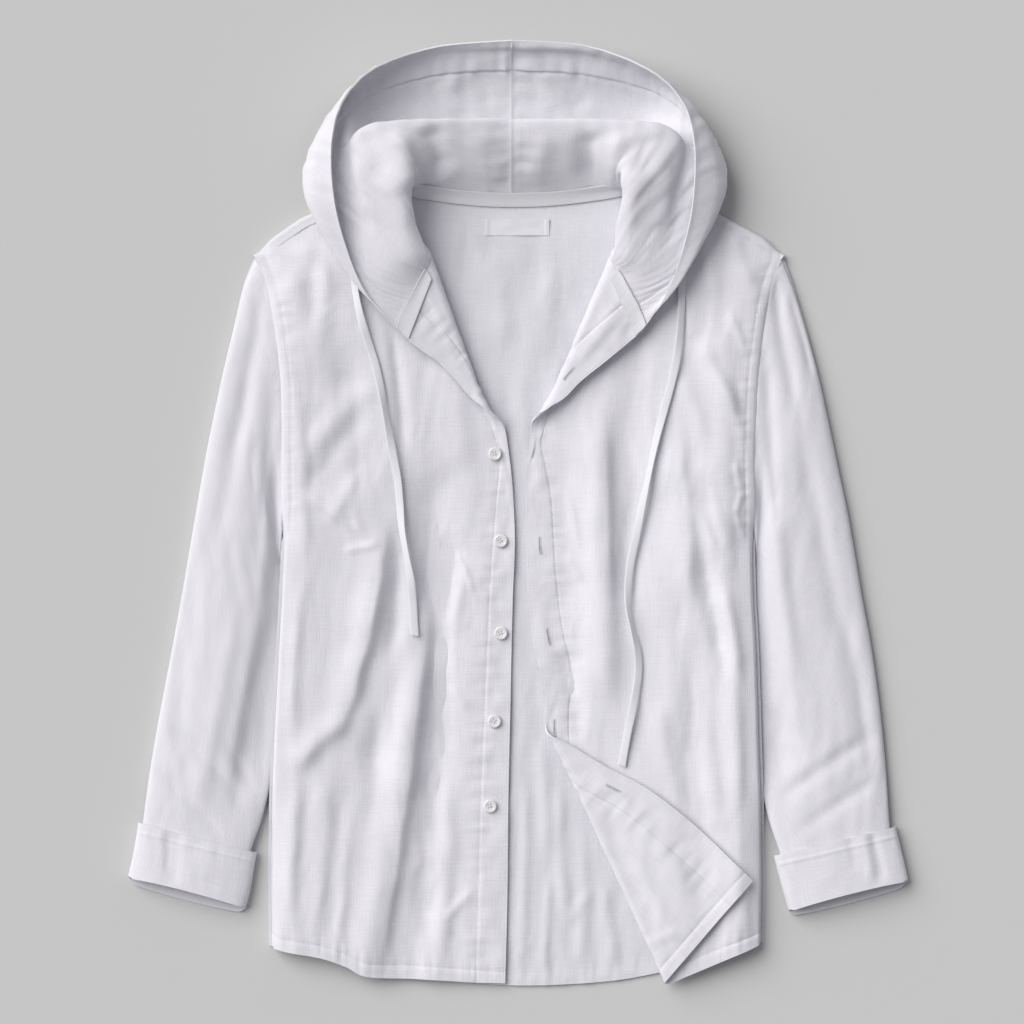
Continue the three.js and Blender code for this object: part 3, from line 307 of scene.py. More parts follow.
# creases listed one by one: x, y of the upper end, x, y of the lower end, sideways bow,
# half width on the image's left and right side, height
CREASES = {
    "front_right": [
        [-158, 150, -148, 5, 0, 44, 14, -4.2],
        [-68, 60, -64, -430, 2, 36, 13, -3.6],
        [-124, -22, -165, -200, 6, 17, 7, 7],
        [-160, -190, -206, -238, -3, 12, 9, 4],
        [-112, -15, -118, -135, 3, 8, 8, -4],
        [-84, -92, -128, -410, 4, 21, 7, 6.2],
        [-70, -115, -92, -430, 2, 12, 16, -4.2],
        [-78, 30, -72, -95, -4, 16, 12, -4.5],
        [-60, 150, -52, 45, 0, 18, 14, 3.2],
        [-117, 168, -106, 62, 2, 5, 6, -2.7],
        [-132, 118, -192, 58, -4, 12, 11, 3],
        [-140, 90, -196, 22, -3, 9, 9, -1.2],
        [-196, 18, -150, -18, 2, 4, 4, 1.9],
        [-152, -8, -128, -30, -1, 3.5, 3.5, 1.9],
        [-160, -34, -130, -28, 0, 4, 3, 1.5],
        [-205, 250, -170, 205, 3, 8, 8, 3],
        [-165, 262, -150, 215, 2, 7, 7, 2.5],
        [-188, 240, -196, 170, 3, 10, 8, -2.8],
        [-208, 120, -200, -40, 3, 9, 7, 2.2],
        [-200, -60, -210, -200, -2, 8, 6, 2.2],
        [-178, -240, -188, -390, 3, 12, 8, 2.8],
        [-204, -250, -212, -380, -2, 9, 7, 2.5],
        [-160, -300, -168, -410, 2, 7, 6, 2],
        [-64, -250, -70, -410, 3, 9, 8, 2.2],
        [-52, -60, -58, -150, -3, 6, 5, 1.3],
        [-56, -38, -42, -72, 2, 2.5, 2.5, 1.5],
        [-64, -160, -46, -182, 1, 4, 4, 1.1],
        [-66, -376, -40, -350, 1, 5, 4, 1.5],
        [-84, -372, -60, -392, 1, 4, 4, 1.1],
        [-150, 40, -176, -10, 2, 8, 7, 2],
    ],
    "front_left": [
        [44, 60, 50, -190, 2, 20, 18, -2.6],
        [112, 120, 110, -120, 2, 18, 22, -2.4],
        [178, 60, 182, -60, 3, 22, 18, 3.0],
        [74, 98, 80, -185, 2, 26, 17, 5.4],
        [92, 90, 94, -90, 0, 8, 10, -2.6],
        [84, 60, 86, -60, 0, 3, 3, 0.9],
        [150, 70, 158, -95, 4, 22, 10, 5.5],
        [158, -90, 148, -210, -3, 16, 12, 3.1],
        [170, -36, 192, -146, 2, 8, 8, -4.8],
        [190, -66, 206, -156, 2, 7, 6, 3.1],
        [203, 48, 209, 20, 0, 3, 3, 2],
        [209, 20, 203, 0, 0, 3, 3, 2],
        [203, 0, 212, -24, 0, 3, 3, 1.8],
        [196, 186, 212, 148, 2, 4, 4, 1.8],
        [172, 160, 204, 96, -3, 9, 7, 2.9],
        [186, 132, 214, 60, 2, 6, 6, 2.2],
        [150, 130, 176, 60, 3, 9, 8, 2.2],
        [182, 30, 196, -30, -2, 5, 5, 1.5],
        [164, 10, 186, -40, 2, 6, 5, 1.5],
        [200, -160, 206, -270, 2, 10, 7, 2.4],
        [172, -190, 186, -300, 3, 10, 8, 2.2],
        [132, -180, 150, -270, -3, 10, 8, 2.2],
        [46, 20, 58, -30, 1, 4, 4, 1.1],
        [44, -40, 62, -62, 1, 4, 4, 1.1],
        [44, -130, 56, -205, 3, 9, 8, -3.6],
        [182, -300, 196, -390, 2, 9, 7, 2.2],
        [210, -330, 214, -390, 0, 5, 5, 1.3],
        [200, 262, 216, 215, 0, 7, 6, 2.2],
        [170, 262, 184, 205, 0, 8, 8, 2.2],
    ],
    "flap": [
        [96, -268, 164, -352, 3, 10, 8, 2.4],
        [84, -282, 130, -372, -3, 9, 9, -2.2],
        [104, -322, 140, -384, 2, 7, 7, 2],
        [70, -240, 104, -268, 1, 4, 4, 1.2],
        [120, -402, 150, -388, 1, 6, 5, 1.2],
    ],
    "lapel_right": [
        [-96, 232, -58, 140, 2, 6, 6, 1.1],
        [-84, 196, -62, 150, -1, 4, 4, -0.7],
    ],
    "lapel_left": [
        [104, 216, 62, 150, 2, 6, 6, 1.3],
        [92, 182, 54, 138, -1, 4, 4, 0.9],
        [120, 196, 96, 160, 1, 4, 4, -0.7],
    ],
    "back": [
        [8, -250, 4, -420, 1, 5, 5, 1.4],
        [22, -210, 26, -330, 2, 7, 6, 1.6],
        [40, -250, 46, -380, -2, 6, 6, 1.8],
        [62, -300, 58, -430, 2, 6, 6, 1.6],
        [30, -340, 26, -430, -1, 4, 4, 1.6],
        [50, -380, 70, -350, 1, 6, 5, 1.1],
        [80, -345, 90, -425, 1, 6, 6, 1.6],
        [-30, 240, -10, 160, 3, 16, 14, 2.4],
        [34, 230, 16, 140, -3, 14, 14, 2],
        [4, 140, 6, 60, 0, 8, 8, 1.6],
    ],
    "hood_right": [
        [-140, 352, -128, 310, 6, 12, 11, -2.6],
        [-113, 352, -101, 300, 6, 12, 9, 5],
        [-86, 356, -72, 314, 5, 9, 15, -6],
        [-40, 350, -22, 302, 4, 12, 10, 2.2],
        [-146, 330, -120, 240, -8, 9, 12, 2.8],
        [-160, 322, -146, 250, -6, 8, 8, -2.2],
        [-122, 306, -100, 270, 4, 6, 6, 1.6],
        [-60, 408, -46, 374, -6, 12, 8, 2.2],
        [-40, 412, -30, 376, 4, 9, 9, -2.2],
    ],
    "hood_left": [
        [124, 350, 122, 312, -6, 11, 12, -2.4],
        [98, 352, 94, 300, -6, 9, 12, 5],
        [72, 352, 70, 306, -5, 15, 9, -5.5],
        [28, 350, 16, 304, -4, 11, 12, 2.2],
        [136, 326, 124, 240, 6, 12, 9, 2.6],
        [152, 318, 142, 250, 4, 8, 8, -2.0],
        [112, 304, 104, 268, -3, 6, 6, 1.4],
        [24, 412, 34, 376, 4, 9, 9, 2.2],
        [52, 408, 60, 376, 5, 11, 9, -1.8],
    ],
    "cuff_right": [
        [-313, -296, -318, -346, -1, 18, 5, 2.4],
        [-330, -294, -331, -340, 1, 5, 5, -0.8],
        [-323, -294, -326, -332, 0, 3, 3, 1],
        [-292, -308, -288, -340, 1, 9, 9, -0.8],
    ],
    "cuff_left": [
        [331, -296, 339, -344, 1, 9, 4, 2.2],
        [322, -294, 329, -342, 1, 4, 4, -1.5],
        [310, -298, 314, -330, 0, 3, 3, 0.9],
        [290, -306, 292, -345, 1, 9, 9, -0.8],
    ],
    "sleeve_right": [
        [-236, 216, -262, 60, 2, 8, 7, 2.7],
        [-250, 150, -284, -40, 3, 10, 8, 2.4],
        [-226, 120, -244, -60, 2, 7, 6, 1.9],
        [-300, -40, -322, -230, 2, 12, 9, 2.2],
        [-262, -80, -300, -280, 3, 9, 8, -2.2],
        [-232, -110, -262, -280, -3, 8, 7, 2.2],
        [-320, -200, -256, -262, 2, 7, 7, 2.4],
        [-334, -240, -276, -296, 2, 6, 6, 2],
        [-268, -214, -244, -262, 1, 5, 5, 1.4],
    ],
    "sleeve_left": [
        [238, 226, 262, 90, -2, 7, 6, 3.1],
        [252, 214, 276, 120, 2, 5, 5, 1.7],
        [230, 150, 240, -20, 2, 7, 6, 2.4],
        [266, 60, 300, -120, 3, 10, 8, 2.4],
        [240, 10, 262, -160, -3, 8, 7, -2],
        [300, -80, 330, -240, 2, 9, 8, 2.2],
        [250, -262, 330, -208, 2, 7, 7, 2.4],
        [262, -296, 338, -246, 2, 6, 6, 2],
        [236, -180, 272, -240, 1, 6, 6, 1.9],
    ],
}


def clamp(value, low, high):
    """A value held between two limits."""
    return np.minimum(high, np.maximum(low, value))


def mix(a, b, t):
    """A value a share t of the way from a to b."""
    return a + (b - a) * t


def ease(low, high, value):
    """Smooth step from 0 at the first limit to 1 at the second."""
    t = clamp((np.asarray(value, float) - low) / (high - low), 0, 1)
    return t * t * (3 - 2 * t)


def unit(vectors):
    """Vectors brought to length one along the last axis."""
    return vectors / np.linalg.norm(vectors, axis=-1, keepdims=True)


def read(rows, key, column=1):
    """Values read off a table of [key, value, ...] rows, passing smoothly through every row."""
    table = np.asarray(rows, float)
    keys = table[:, 0]
    values = table[:, column]
    last = len(keys) - 1
    key = clamp(np.asarray(key, float), keys[0], keys[last])
    i = np.clip(np.searchsorted(keys, key, side="left") - 1, 0, last - 1)
    before = np.maximum(np.arange(last + 1) - 1, 0)
    after = np.minimum(np.arange(last + 1) + 1, last)
    slope = (values[after] - values[before]) / (keys[after] - keys[before])
    width = keys[i + 1] - keys[i]
    t = (key - keys[i]) / width
    start = values[i] * (2 * t**3 - 3 * t**2 + 1) + slope[i] * width * (t**3 - 2 * t**2 + t)
    end = values[i + 1] * (3 * t**2 - 2 * t**3) + slope[i + 1] * width * (t**3 - t**2)
    return start + end


def walk(points, share):
    """Points at shares of the length of a polyline."""
    line = np.asarray(points, float)
    steps = np.linalg.norm(np.diff(line, axis=0), axis=1)
    lengths = np.concatenate([[0], np.cumsum(steps)])
    want = clamp(share, 0, 1) * lengths[-1]
    return np.stack([np.interp(want, lengths, line[:, k]) for k in range(line.shape[1])], -1)


def through(points, share):
    """Smooth curve through the first axis of points, read at shares of its count of spans."""
    points = np.asarray(points, float)
    spans = len(points) - 1
    at = clamp(np.asarray(share, float), 0, 1) * spans
    i = np.minimum(np.floor(at).astype(int), spans - 1)
    t = (at - i).reshape((-1,) + (1,) * (points.ndim - 1))
    a = points[np.clip(i - 1, 0, spans)]
    b = points[i]
    c = points[i + 1]
    d = points[np.clip(i + 2, 0, spans)]
    cubic = 3 * b - a - 3 * c + d
    return 0.5 * (2 * b + (c - a) * t + (2 * a - 5 * b + 4 * c - d) * t**2 + cubic * t**3)


def noise(x, y, seed):
    """Smooth noise from about -1 to 1 at places given in cells."""
    xi = np.floor(x)
    yi = np.floor(y)
    xf = x - xi
    yf = y - yi

    def corner(dx, dy):
        """Pull of one corner of a cell."""
        h = np.sin((xi + dx) * 127.1 + (yi + dy) * 311.7 + seed * 74.7) * 43758.5453
        angle = (h - np.floor(h)) * 2 * np.pi
        return np.cos(angle) * (xf - dx) + np.sin(angle) * (yf - dy)

    u = xf**3 * (xf * (xf * 6 - 15) + 10)
    v = yf**3 * (yf * (yf * 6 - 15) + 10)
    low = mix(corner(0, 0), corner(1, 0), u)
    high = mix(corner(0, 1), corner(1, 1), u)
    return mix(low, high, v) * 1.5


def crumple(x, y, seed, wide=1.0):
    """Fine creases of worn linen: long soft ones down the cloth and short sharp ones across it."""
    bend_x = x + 9 * noise(x / 60, y / 60, seed + 1)
    bend_y = y + 9 * noise(x / 60, y / 60, seed + 2)
    streak = noise(bend_x / (13 * wide), bend_y / (95 * wide), seed + 3)
    sharp = 1 - 2.4 * np.abs(noise(bend_x / (30 * wide), bend_y / (62 * wide), seed + 4))
    small = 1 - 2.4 * np.abs(noise(bend_x / (14 * wide), bend_y / (26 * wide), seed + 5))
    patch = ease(-0.2, 0.6, noise(x / 70, y / 90, seed + 6))
    fine = noise(x / 4.5, y / 9, seed + 7)
    return 0.5 * streak + 0.55 * sharp * patch + 0.24 * small * patch + 0.05 * fine


def creases(rows, x, y, seed=0):
    """Height of listed creases at places of the plan, uneven along their length."""
    total = np.zeros_like(x)
    for n, (x0, y0, x1, y1, bow, left, right, high) in enumerate(rows):
        dx = x1 - x0
        dy = y1 - y0
        length = np.hypot(dx, dy)
        along = ((x - x0) * dx + (y - y0) * dy) / length**2
        across = ((x - x0) * -dy + (y - y0) * dx) / length
        middle = 4 * along * (1 - along)
        wobble = 0.07 * (left + right) * noise(along * length / 30, 0.5 + 0 * along, seed + n)
        across = across - bow * middle - wobble
        half = np.where(across < 0, left, right)
        ends = ease(-0.12, 0.22, along) * (1 - ease(0.74, 1.12, along))
        uneven = 1 + 0.35 * noise(along * length / 38, 0.5 + 0 * along, seed + n + 40)
        total += high * np.exp(-((across / half) ** 2)) * ends * uneven
    return total


def fold_angle(share):
    """Angle round a flattened tube at a share of its width."""
    return np.arccos(clamp(1 - 2 * share, -1, 1))


def armhole_height(y):
    """Height of the armhole's seam, over the sleeve's full top."""
    share = (238 - y) / (238 + 15)
    return FLOOR + SLEEVE_LOW + SLEEVE_HIGH * np.maximum(np.sin(fold_angle(share)), 0) ** 0.6


def back_height(out, y, edge):
    """Height of the back, which lifts at its side to pass over the sleeve."""
    lift = read(BACK_LIFT, y) - FLOOR
    return FLOOR + lift * (1 - ease(14, 46, edge - out))


def side_seam_height(y):
    """Height of a front's edge where it is sewn to the back's side."""
    return read(BACK_LIFT, y) + FLOOR + SEAM + 1.1


def arm_share(y):
    """How far a height up the side belongs to the armhole, from 0 below it to 1."""
    return ease(-38, 6, y)


def fold_height(folds, out, y):
    """Height of a front's large folds at places of the plan."""
    total = np.zeros_like(out)
    for x0, y0, x1, y1, half, high in folds:
        dx = x1 - x0
        dy = y1 - y0
        length = np.hypot(dx, dy)
        along = ((out - x0) * dx + (y - y0) * dy) / length
        across = ((out - x0) * -dy + (y - y0) * dx) / length
        over = np.maximum(0, np.maximum(-along, along - length))
        total += high * np.exp(-((across / half) ** 2)) * np.exp(-((over / 22) ** 2))
    return total


def below_shoulder(side, out, y):
    """Distance below the shoulder seam, or from its inner end."""
    top = FRONT_TOP[side]
    near = np.hypot(out - top[4][0], y - top[4][1])
    seam = (read(top[4::-1], out) - y) * 0.88
    return np.where(out < top[4][0], near, seam)


def front_height(side, out, y):
    """Height of a front panel's middle surface at a place of the plan."""
    edge = read(SIDE_EDGE[side], y)
    inward = np.maximum(edge - out, 0)
    slope = clamp((inward - SIDE_ZONE) / (edge - 10 - SIDE_ZONE), 0, 1)
    high = CHEST_CENTRE + (CHEST_SIDE - CHEST_CENTRE) * (1 - slope) ** 1.25
    rounded = read([[0, 0], [2, 0.34], [6, 0.62], [13, 0.86], [SIDE_ZONE, 1]], inward)
    seam = side_seam_height(y)
    start = mix(seam + 2.5, armhole_height(y), arm_share(y))
    body = mix(start, high, rounded)
    calm = ease(4, 30, inward) * ease(0, 24, out + 4)
    waved = body + calm * fold_height(FOLDS[side], out, y)
    near = below_shoulder(side, out, y)
    shoulder = mix(SHOULDER_Z, np.maximum(waved, 3.4), ease(0, 46, near))
    tip = mix(armhole_height(y), shoulder, ease(0, 20, inward))
    lowered = mix(shoulder, np.minimum(tip, shoulder), ease(190, 225, y))
    return np.where(y > 190, lowered, shoulder)


def roll(line, curl, out, y):
    """Carries flat points over a roll line, and gives their rise."""
    ax, ay = line["a"]
    dx = line["b"][0] - ax
    dy = line["b"][1] - ay
    length = np.hypot(dx, dy)
    ux = dx / length
    uy = dy / length
    nx = uy
    ny = -ux
    along = (out - ax) * ux + (y - ay) * uy
    beyond = (out - ax) * nx + (y - ay) * ny
    radius = read(curl, along)
    fade = ease(curl[0][0] - 30, curl[0][0], along)
    if curl[-1][1] > 20:
        fade = fade * (1 - ease(curl[-1][0], curl[-1][0] + 30, along))
    curve = np.maximum(fade, 1e-6) / radius
    turn = curve * beyond
    round_part = turn < np.pi
    offset = np.where(round_part, np.sin(turn) / curve, -(beyond - np.pi / curve))
    rise = np.where(round_part, (1 - np.cos(turn)) / curve, 2 / curve)
    flat = (beyond <= 0) | (fade <= 1e-4)
    moved_out = np.where(flat, out, ax + ux * along + nx * offset)
    moved_y = np.where(flat, y, ay + uy * along + ny * offset)
    return moved_out, moved_y, np.where(flat, 0, rise)


def front_flat(side, up, across, beyond):
    """Flat pattern point of a front: up it, across to the roll line, and beyond that line."""

    def level(rows):
        """Points of a line, spread evenly up it."""
        y = mix(rows[0][0], rows[-1][0], up)
        return np.stack([read(rows, y), y], -1)

    s = level(SIDE_EDGE[side][:-1])
    r = level(ROLL_LINE[side])
    e = level(FRONT_EDGE[side])
    hem = through(HEM[side], np.linspace(0, 1, 57))
    top = FRONT_TOP[side]
    split = HEM_SPLIT[side]
    share = across[..., None]
    rise = up[..., None]
    base = mix(s, r, share)
    low = walk(hem, across * split) - mix(walk(hem, 0.0), walk(hem, split), share)
    high = walk(top, across) - mix(walk(top, 0.0), walk(top, 1.0), share)
    chest = base + (1 - rise) * low + rise * high
    facing = mix(r, e, beyond[..., None])
    return np.where(beyond[..., None] > 0, facing, chest)


def front_point(side, up, across, beyond):
    """Finished point of a front panel's middle surface, with its flat pattern point."""
    flat = front_flat(side, up, across, beyond)
    fx = flat[..., 0]
    fy = flat[..., 1]
    out, y, rise = roll(LAPEL[side], LAPEL_CURL, fx, fy)
    if side == "left":
        low_out, low_y, low_rise = roll(CORNER, CORNER_CURL, fx, fy)
        low = fy < -120
        out = np.where(low, low_out, out)
        y = np.where(low, low_y, y)
        rise = np.where(low, low_rise, rise)
    inward = read(SIDE_EDGE[side], y) - out
    z = front_height(side, out, y) + rise
    arm = arm_share(y)
    tucked = (up < 0.999) & (inward < 12) & (arm < 1)
    out = out - np.where(tucked, (1 - arm) * 3.6 * (1 - ease(0, 7, inward)), 0)
    seam = side_seam_height(y)
    z = np.where(tucked, mix(z, seam, (1 - arm) * (1 - ease(0, 3.5, inward))), z)
    out = out - arm * SEAM * (inward < 0.5)
    return np.stack([SIGN[side] * out, y, z], -1), flat


def normals(grid, ringed=False):
    """Unit normals of a grid of points, whose rows may close on themselves."""
    if ringed:
        across = np.roll(grid, -1, 1) - np.roll(grid, 1, 1)
    else:
        wide = np.concatenate([grid[:, :1], grid, grid[:, -1:]], 1)
        across = wide[:, 2:] - wide[:, :-2]
    tall = np.concatenate([grid[:1], grid, grid[-1:]], 0)
    along = tall[2:] - tall[:-2]
    n = np.cross(across, along)
    return n / np.maximum(np.linalg.norm(n, axis=2, keepdims=True), 1e-9)


def arc_rows(grid):
    """Distance along each column from the first row."""
    steps = np.linalg.norm(np.diff(grid, axis=0), axis=2)
    return np.concatenate([np.zeros((1, grid.shape[1])), np.cumsum(steps, 0)], 0)


def arc_columns(grid):
    """Distance along each row from the first column."""
    return arc_rows(grid.transpose(1, 0, 2)).T


def groove(distance, wide=1.2, deep=0.6):
    """Line that a row of stitches pulls into the cloth."""
    return -deep * np.exp(-((distance / wide) ** 2))


def pucker(distance, along, seed, reach=8.0, high=0.45, spacing=9.0):
    """Short uneven ripples that cross a stitched line."""
    wave = noise(along / spacing, distance / 40, seed)
    wave = wave + 0.6 * noise(along / (spacing * 0.5), 0 * along, seed + 9)
    return high * wave * np.exp(-((distance / reach) ** 2))


def new_object(name, points, faces, material, smooth=35.0, uv=None):
    """Mesh object in metres of the row frame from millimetres of the drawing."""
    mesh = bpy.data.meshes.new(name)
    placed = (np.asarray(points, float) + ORIGIN) * METRES
    mesh.from_pydata(placed.tolist(), [], [tuple(int(v) for v in f) for f in faces])
    mesh.update()
    mesh.validate()
    mesh.shade_smooth()
    mesh.set_sharp_from_angle(angle=np.radians(smooth))
    if uv is not None:
        layer = mesh.uv_layers.new(name="cloth")
        corners = np.empty(len(mesh.loops), dtype=np.int64)
        mesh.loops.foreach_get("vertex_index", corners)
        layer.data.foreach_set("uv", np.asarray(uv, np.float32)[corners].ravel())
    mesh.materials.append(material)
    piece = bpy.data.objects.new(name, mesh)
    bpy.context.scene.collection.objects.link(piece)
    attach(piece, "root")
    return piece


def corners(index):
    """The four corners of every quad between the points of an index grid."""
    return index[:-1, :-1].ravel(), index[:-1, 1:].ravel(), index[1:, 1:].ravel(), index[1:, :-1].ravel()


def shell(name, grid, wall, material, ringed=False, uv=None, lowest=0.05):
    """Closed cloth wall from a grid of points on its middle surface."""
    rows, cols = grid.shape[:2]
    half = np.broadcast_to(np.asarray(wall, float), (rows, cols))[..., None] / 2
    n = normals(grid, ringed)
    top = (grid + n * half).reshape(-1, 3)
    low = (grid - n * half).reshape(-1, 3)
    points = np.concatenate([top, low])
    points[:, 2] = np.maximum(points[:, 2], lowest)
    index = np.arange(rows * cols).reshape(rows, cols)
    if ringed:
        index = np.concatenate([index, index[:, :1]], 1)
    a, b, c, d = corners(index)
    under = rows * cols
    faces = [np.stack([a, b, c, d], 1), np.stack([a, d, c, b], 1) + under]

    def edge(line, flip):
        """Faces that close the wall along one edge."""
        p = line[:-1]
        q = line[1:]
        quad = np.stack([q, p, p + under, q + under], 1)
        return quad[:, ::-1] if flip else quad

    faces.append(edge(index[0], False))
    faces.append(edge(index[-1], True))
    if not ringed:
        faces.append(edge(index[:, 0], True))
        faces.append(edge(index[:, -1], False))
    if uv is None:
        uv = np.stack([arc_columns(grid), arc_rows(grid)], -1) * METRES
    both = np.concatenate([uv.reshape(-1, 2), uv.reshape(-1, 2)])
    return new_object(name, points, np.concatenate(faces), material, uv=both)


def sample(grid, row, col):
    """Points of a grid at fractional rows and columns."""
    rows, cols = grid.shape[:2]
    row = np.clip(row, 0, rows - 1.001)
    col = np.clip(col, 0, cols - 1.001)
    j = np.floor(row).astype(int)
    i = np.floor(col).astype(int)
    v = (row - j)[:, None]
    u = (col - i)[:, None]
    low = mix(grid[j, i], grid[j, i + 1], u)
    high = mix(grid[j + 1, i], grid[j + 1, i + 1], u)
    return mix(low, high, v)


def where_level(field, level, axis):
    """Fractional places along an axis where a steadily changing field reaches a level."""
    lines = field if axis == 1 else field.T
    places = np.arange(lines.shape[1], dtype=float)
    found = []
    for line in lines:
        if line[0] > line[-1]:
            found.append(np.interp(level, line[::-1], places[::-1]))
        else:
            found.append(np.interp(level, line, places))
    return np.array(found)


class Sewing:
    """Gathers stitches, each a small lozenge of thread lying on the cloth, into one mesh."""

    def __init__(self):
        self.points = []
        self.faces = []

    def stitch(self, centre, along, normal, long, wide):
        """One stitch, given by its middle, its direction and the cloth's normal."""
        side = np.cross(normal, along)
        base = len(self.points)
        lift = normal * wide * 0.45
        self.points += [
            centre - along * long / 2, centre + along * long / 2,
            centre - side * wide / 2, centre + side * wide / 2,
            centre + lift, centre - lift]
        for tip, turn in ((0, 1), (1, -1)):
            ring = [2, 5, 3, 4][::turn]
            for k in range(4):
                self.faces.append((base + tip, base + ring[k], base + ring[(k + 1) % 4]))

    def run(self, line, up, pitch=STITCH_PITCH, long=STITCH_LONG, wide=STITCH_WIDE, lift=0.0):
        """Row of stitches along a line of points with its normals."""
        steps = np.linalg.norm(np.diff(line, axis=0), axis=1)
        lengths = np.concatenate([[0], np.cumsum(steps)])
        count = int(lengths[-1] / pitch)
        if count < 2:
            return
        at = (np.arange(count) + 0.5) * pitch
        place = np.stack([np.interp(at, lengths, line[:, k]) for k in range(3)], -1)
        ahead = np.stack([np.interp(at + 0.4, lengths, line[:, k]) for k in range(3)], -1)
        normal = np.stack([np.interp(at, lengths, up[:, k]) for k in range(3)], -1)
        for p, q, n in zip(place, ahead, normal):
            along = q - p
            size = np.linalg.norm(along)
            if size < 1e-6:
                continue
            along = along / size
            n = n - along * np.dot(n, along)
            n = n / max(np.linalg.norm(n), 1e-6)
            self.stitch(p + n * lift, along, n, long, wide)

    def on_cloth(self, grid, row, col, wall, sides=(1,), **sizes):
        """Row of stitches along fractional rows and columns of a grid, on the sides named."""
        line = sample(grid, row, col)
        n = sample(normals(grid), row, col)
        for side in sides:
            self.run(line + n * side * (wall / 2), n * side, **sizes)

    def piece(self, name):
        """All the gathered stitches as one object."""
        return new_object(name, self.points, self.faces, THREAD_PAINTED_SHADE, smooth=80.0)


def principled(name, colour, roughness):
    """Material with its shader's colour and roughness set."""
    material = bpy.data.materials.new(name)
    material.use_nodes = True
    tree = material.node_tree
    shader = tree.nodes["Principled BSDF"]
    shader.inputs["Base Color"].default_value = (*colour, 1)
    shader.inputs["Roughness"].default_value = roughness
    return material, tree, shader


def node(tree, kind, **values):
    """Shader node with its sockets and settings given by name."""
    made = tree.nodes.new(kind)
    for key, value in values.items():
        if key in made.inputs:
            made.inputs[key].default_value = value
        else:
            setattr(made, key, value)
    return made


def threads(tree, place, scale, stretch):
    """Noise drawn out along one thread direction, for slubs and uneven yarn."""
    mapping = node(tree, "ShaderNodeMapping")
    mapping.inputs["Scale"].default_value = (*stretch, 1)
    tree.links.new(place, mapping.inputs["Vector"])
    made = node(tree, "ShaderNodeTexNoise", Scale=scale, Detail=3.0, Roughness=0.6)
    tree.links.new(mapping.outputs["Vector"], made.inputs["Vector"])
    return made.outputs["Fac"]


def maths(tree, operation, first, second=None, third=None):
    """Result of one sum on sockets or plain numbers."""
    made = node(tree, "ShaderNodeMath", operation=operation)
    for k, value in enumerate((first, second, third)):
        if value is None:
            continue
        if isinstance(value, (int, float)):
            made.inputs[k].default_value = value
        else:
            tree.links.new(value, made.inputs[k])
    return made.outputs[0]


def weave(tree, place, pitch):
    """Plain weave: warp and weft waves, each rising where the other dips."""
    split = node(tree, "ShaderNodeSeparateXYZ")
    tree.links.new(place, split.inputs["Vector"])
    turns = 2 * np.pi / pitch
    across = maths(tree, "SINE", maths(tree, "MULTIPLY", split.outputs["X"], turns))
    along = maths(tree, "SINE", maths(tree, "MULTIPLY", split.outputs["Y"], turns))
    crossed = maths(tree, "MULTIPLY", across, along)
    return maths(tree, "MULTIPLY_ADD", crossed, 0.5, 0.5)


def cloth_place(tree):
    """Place on the cloth, in metres along its threads."""
    return node(tree, "ShaderNodeUVMap", uv_map="cloth").outputs["UV"]


def tinted(tree, shader, factor, dark, light, low=0.0, high=1.0):
    """Colours a shader between two tones by a factor."""
    ramp = node(tree, "ShaderNodeValToRGB")
    first, last = ramp.color_ramp.elements
    first.position = low
    first.color = (*dark, 1)
    last.position = high
    last.color = (*light, 1)
    tree.links.new(factor, ramp.inputs["Fac"])
    tree.links.new(ramp.outputs["Color"], shader.inputs["Base Color"])


def relieved(tree, shader, height, strength, depth):
    """Gives a shader fine relief from a height."""
    relief = node(tree, "ShaderNodeBump", Strength=strength, Distance=depth)
    tree.links.new(height, relief.inputs["Height"])
    tree.links.new(relief.outputs["Normal"], shader.inputs["Normal"])


def linen_material(name, light, dark):
    """White linen: slubbed threads both ways over a plain weave, softly mottled."""
    material, tree, shader = principled(name, light, 0.85)
    shader.inputs["Sheen Weight"].default_value = 0.25
    shader.inputs["Sheen Roughness"].default_value = 0.6
    shader.inputs["Specular IOR Level"].default_value = 0.25
    place = cloth_place(tree)
    warp = threads(tree, place, 900.0, (1.0, 0.045))
    weft = threads(tree, place, 900.0, (0.045, 1.0))
    slubs = maths(tree, "ADD", warp, weft)
    fine = weave(tree, place, 0.0011)
    cloud = node(tree, "ShaderNodeTexNoise", Scale=22.0, Detail=4.0, Roughness=0.55)
    tree.links.new(place, cloud.inputs["Vector"])
    tone = maths(tree, "MULTIPLY_ADD", slubs, 0.7, -0.22)
    tone = maths(tree, "MULTIPLY_ADD", cloud.outputs["Fac"], 0.35, tone)
    tinted(tree, shader, tone, dark, light, 0.25, 0.8)
    height = maths(tree, "MULTIPLY_ADD", fine, 0.35, slubs)
    relieved(tree, shader, height, 0.5, 0.0006)
    return material


def twill_material(name, light, dark, turns):
    """Narrow woven tape with fine slanting ribs."""
    material, tree, shader = principled(name, light, 0.7)
    shader.inputs["Sheen Weight"].default_value = 0.2
    shader.inputs["Specular IOR Level"].default_value = 0.3
    split = node(tree, "ShaderNodeSeparateXYZ")
    tree.links.new(cloth_place(tree), split.inputs["Vector"])
    fold = maths(tree, "PINGPONG", split.outputs["X"], 0.0019)
    slant = maths(tree, "ADD", fold, split.outputs["Y"])
    ribs = maths(tree, "SINE", maths(tree, "MULTIPLY", slant, turns))
    ribs = maths(tree, "MULTIPLY_ADD", ribs, 0.5, 0.5)
    tinted(tree, shader, ribs, dark, light)
    relieved(tree, shader, ribs, 0.5, 0.0003)
    return material


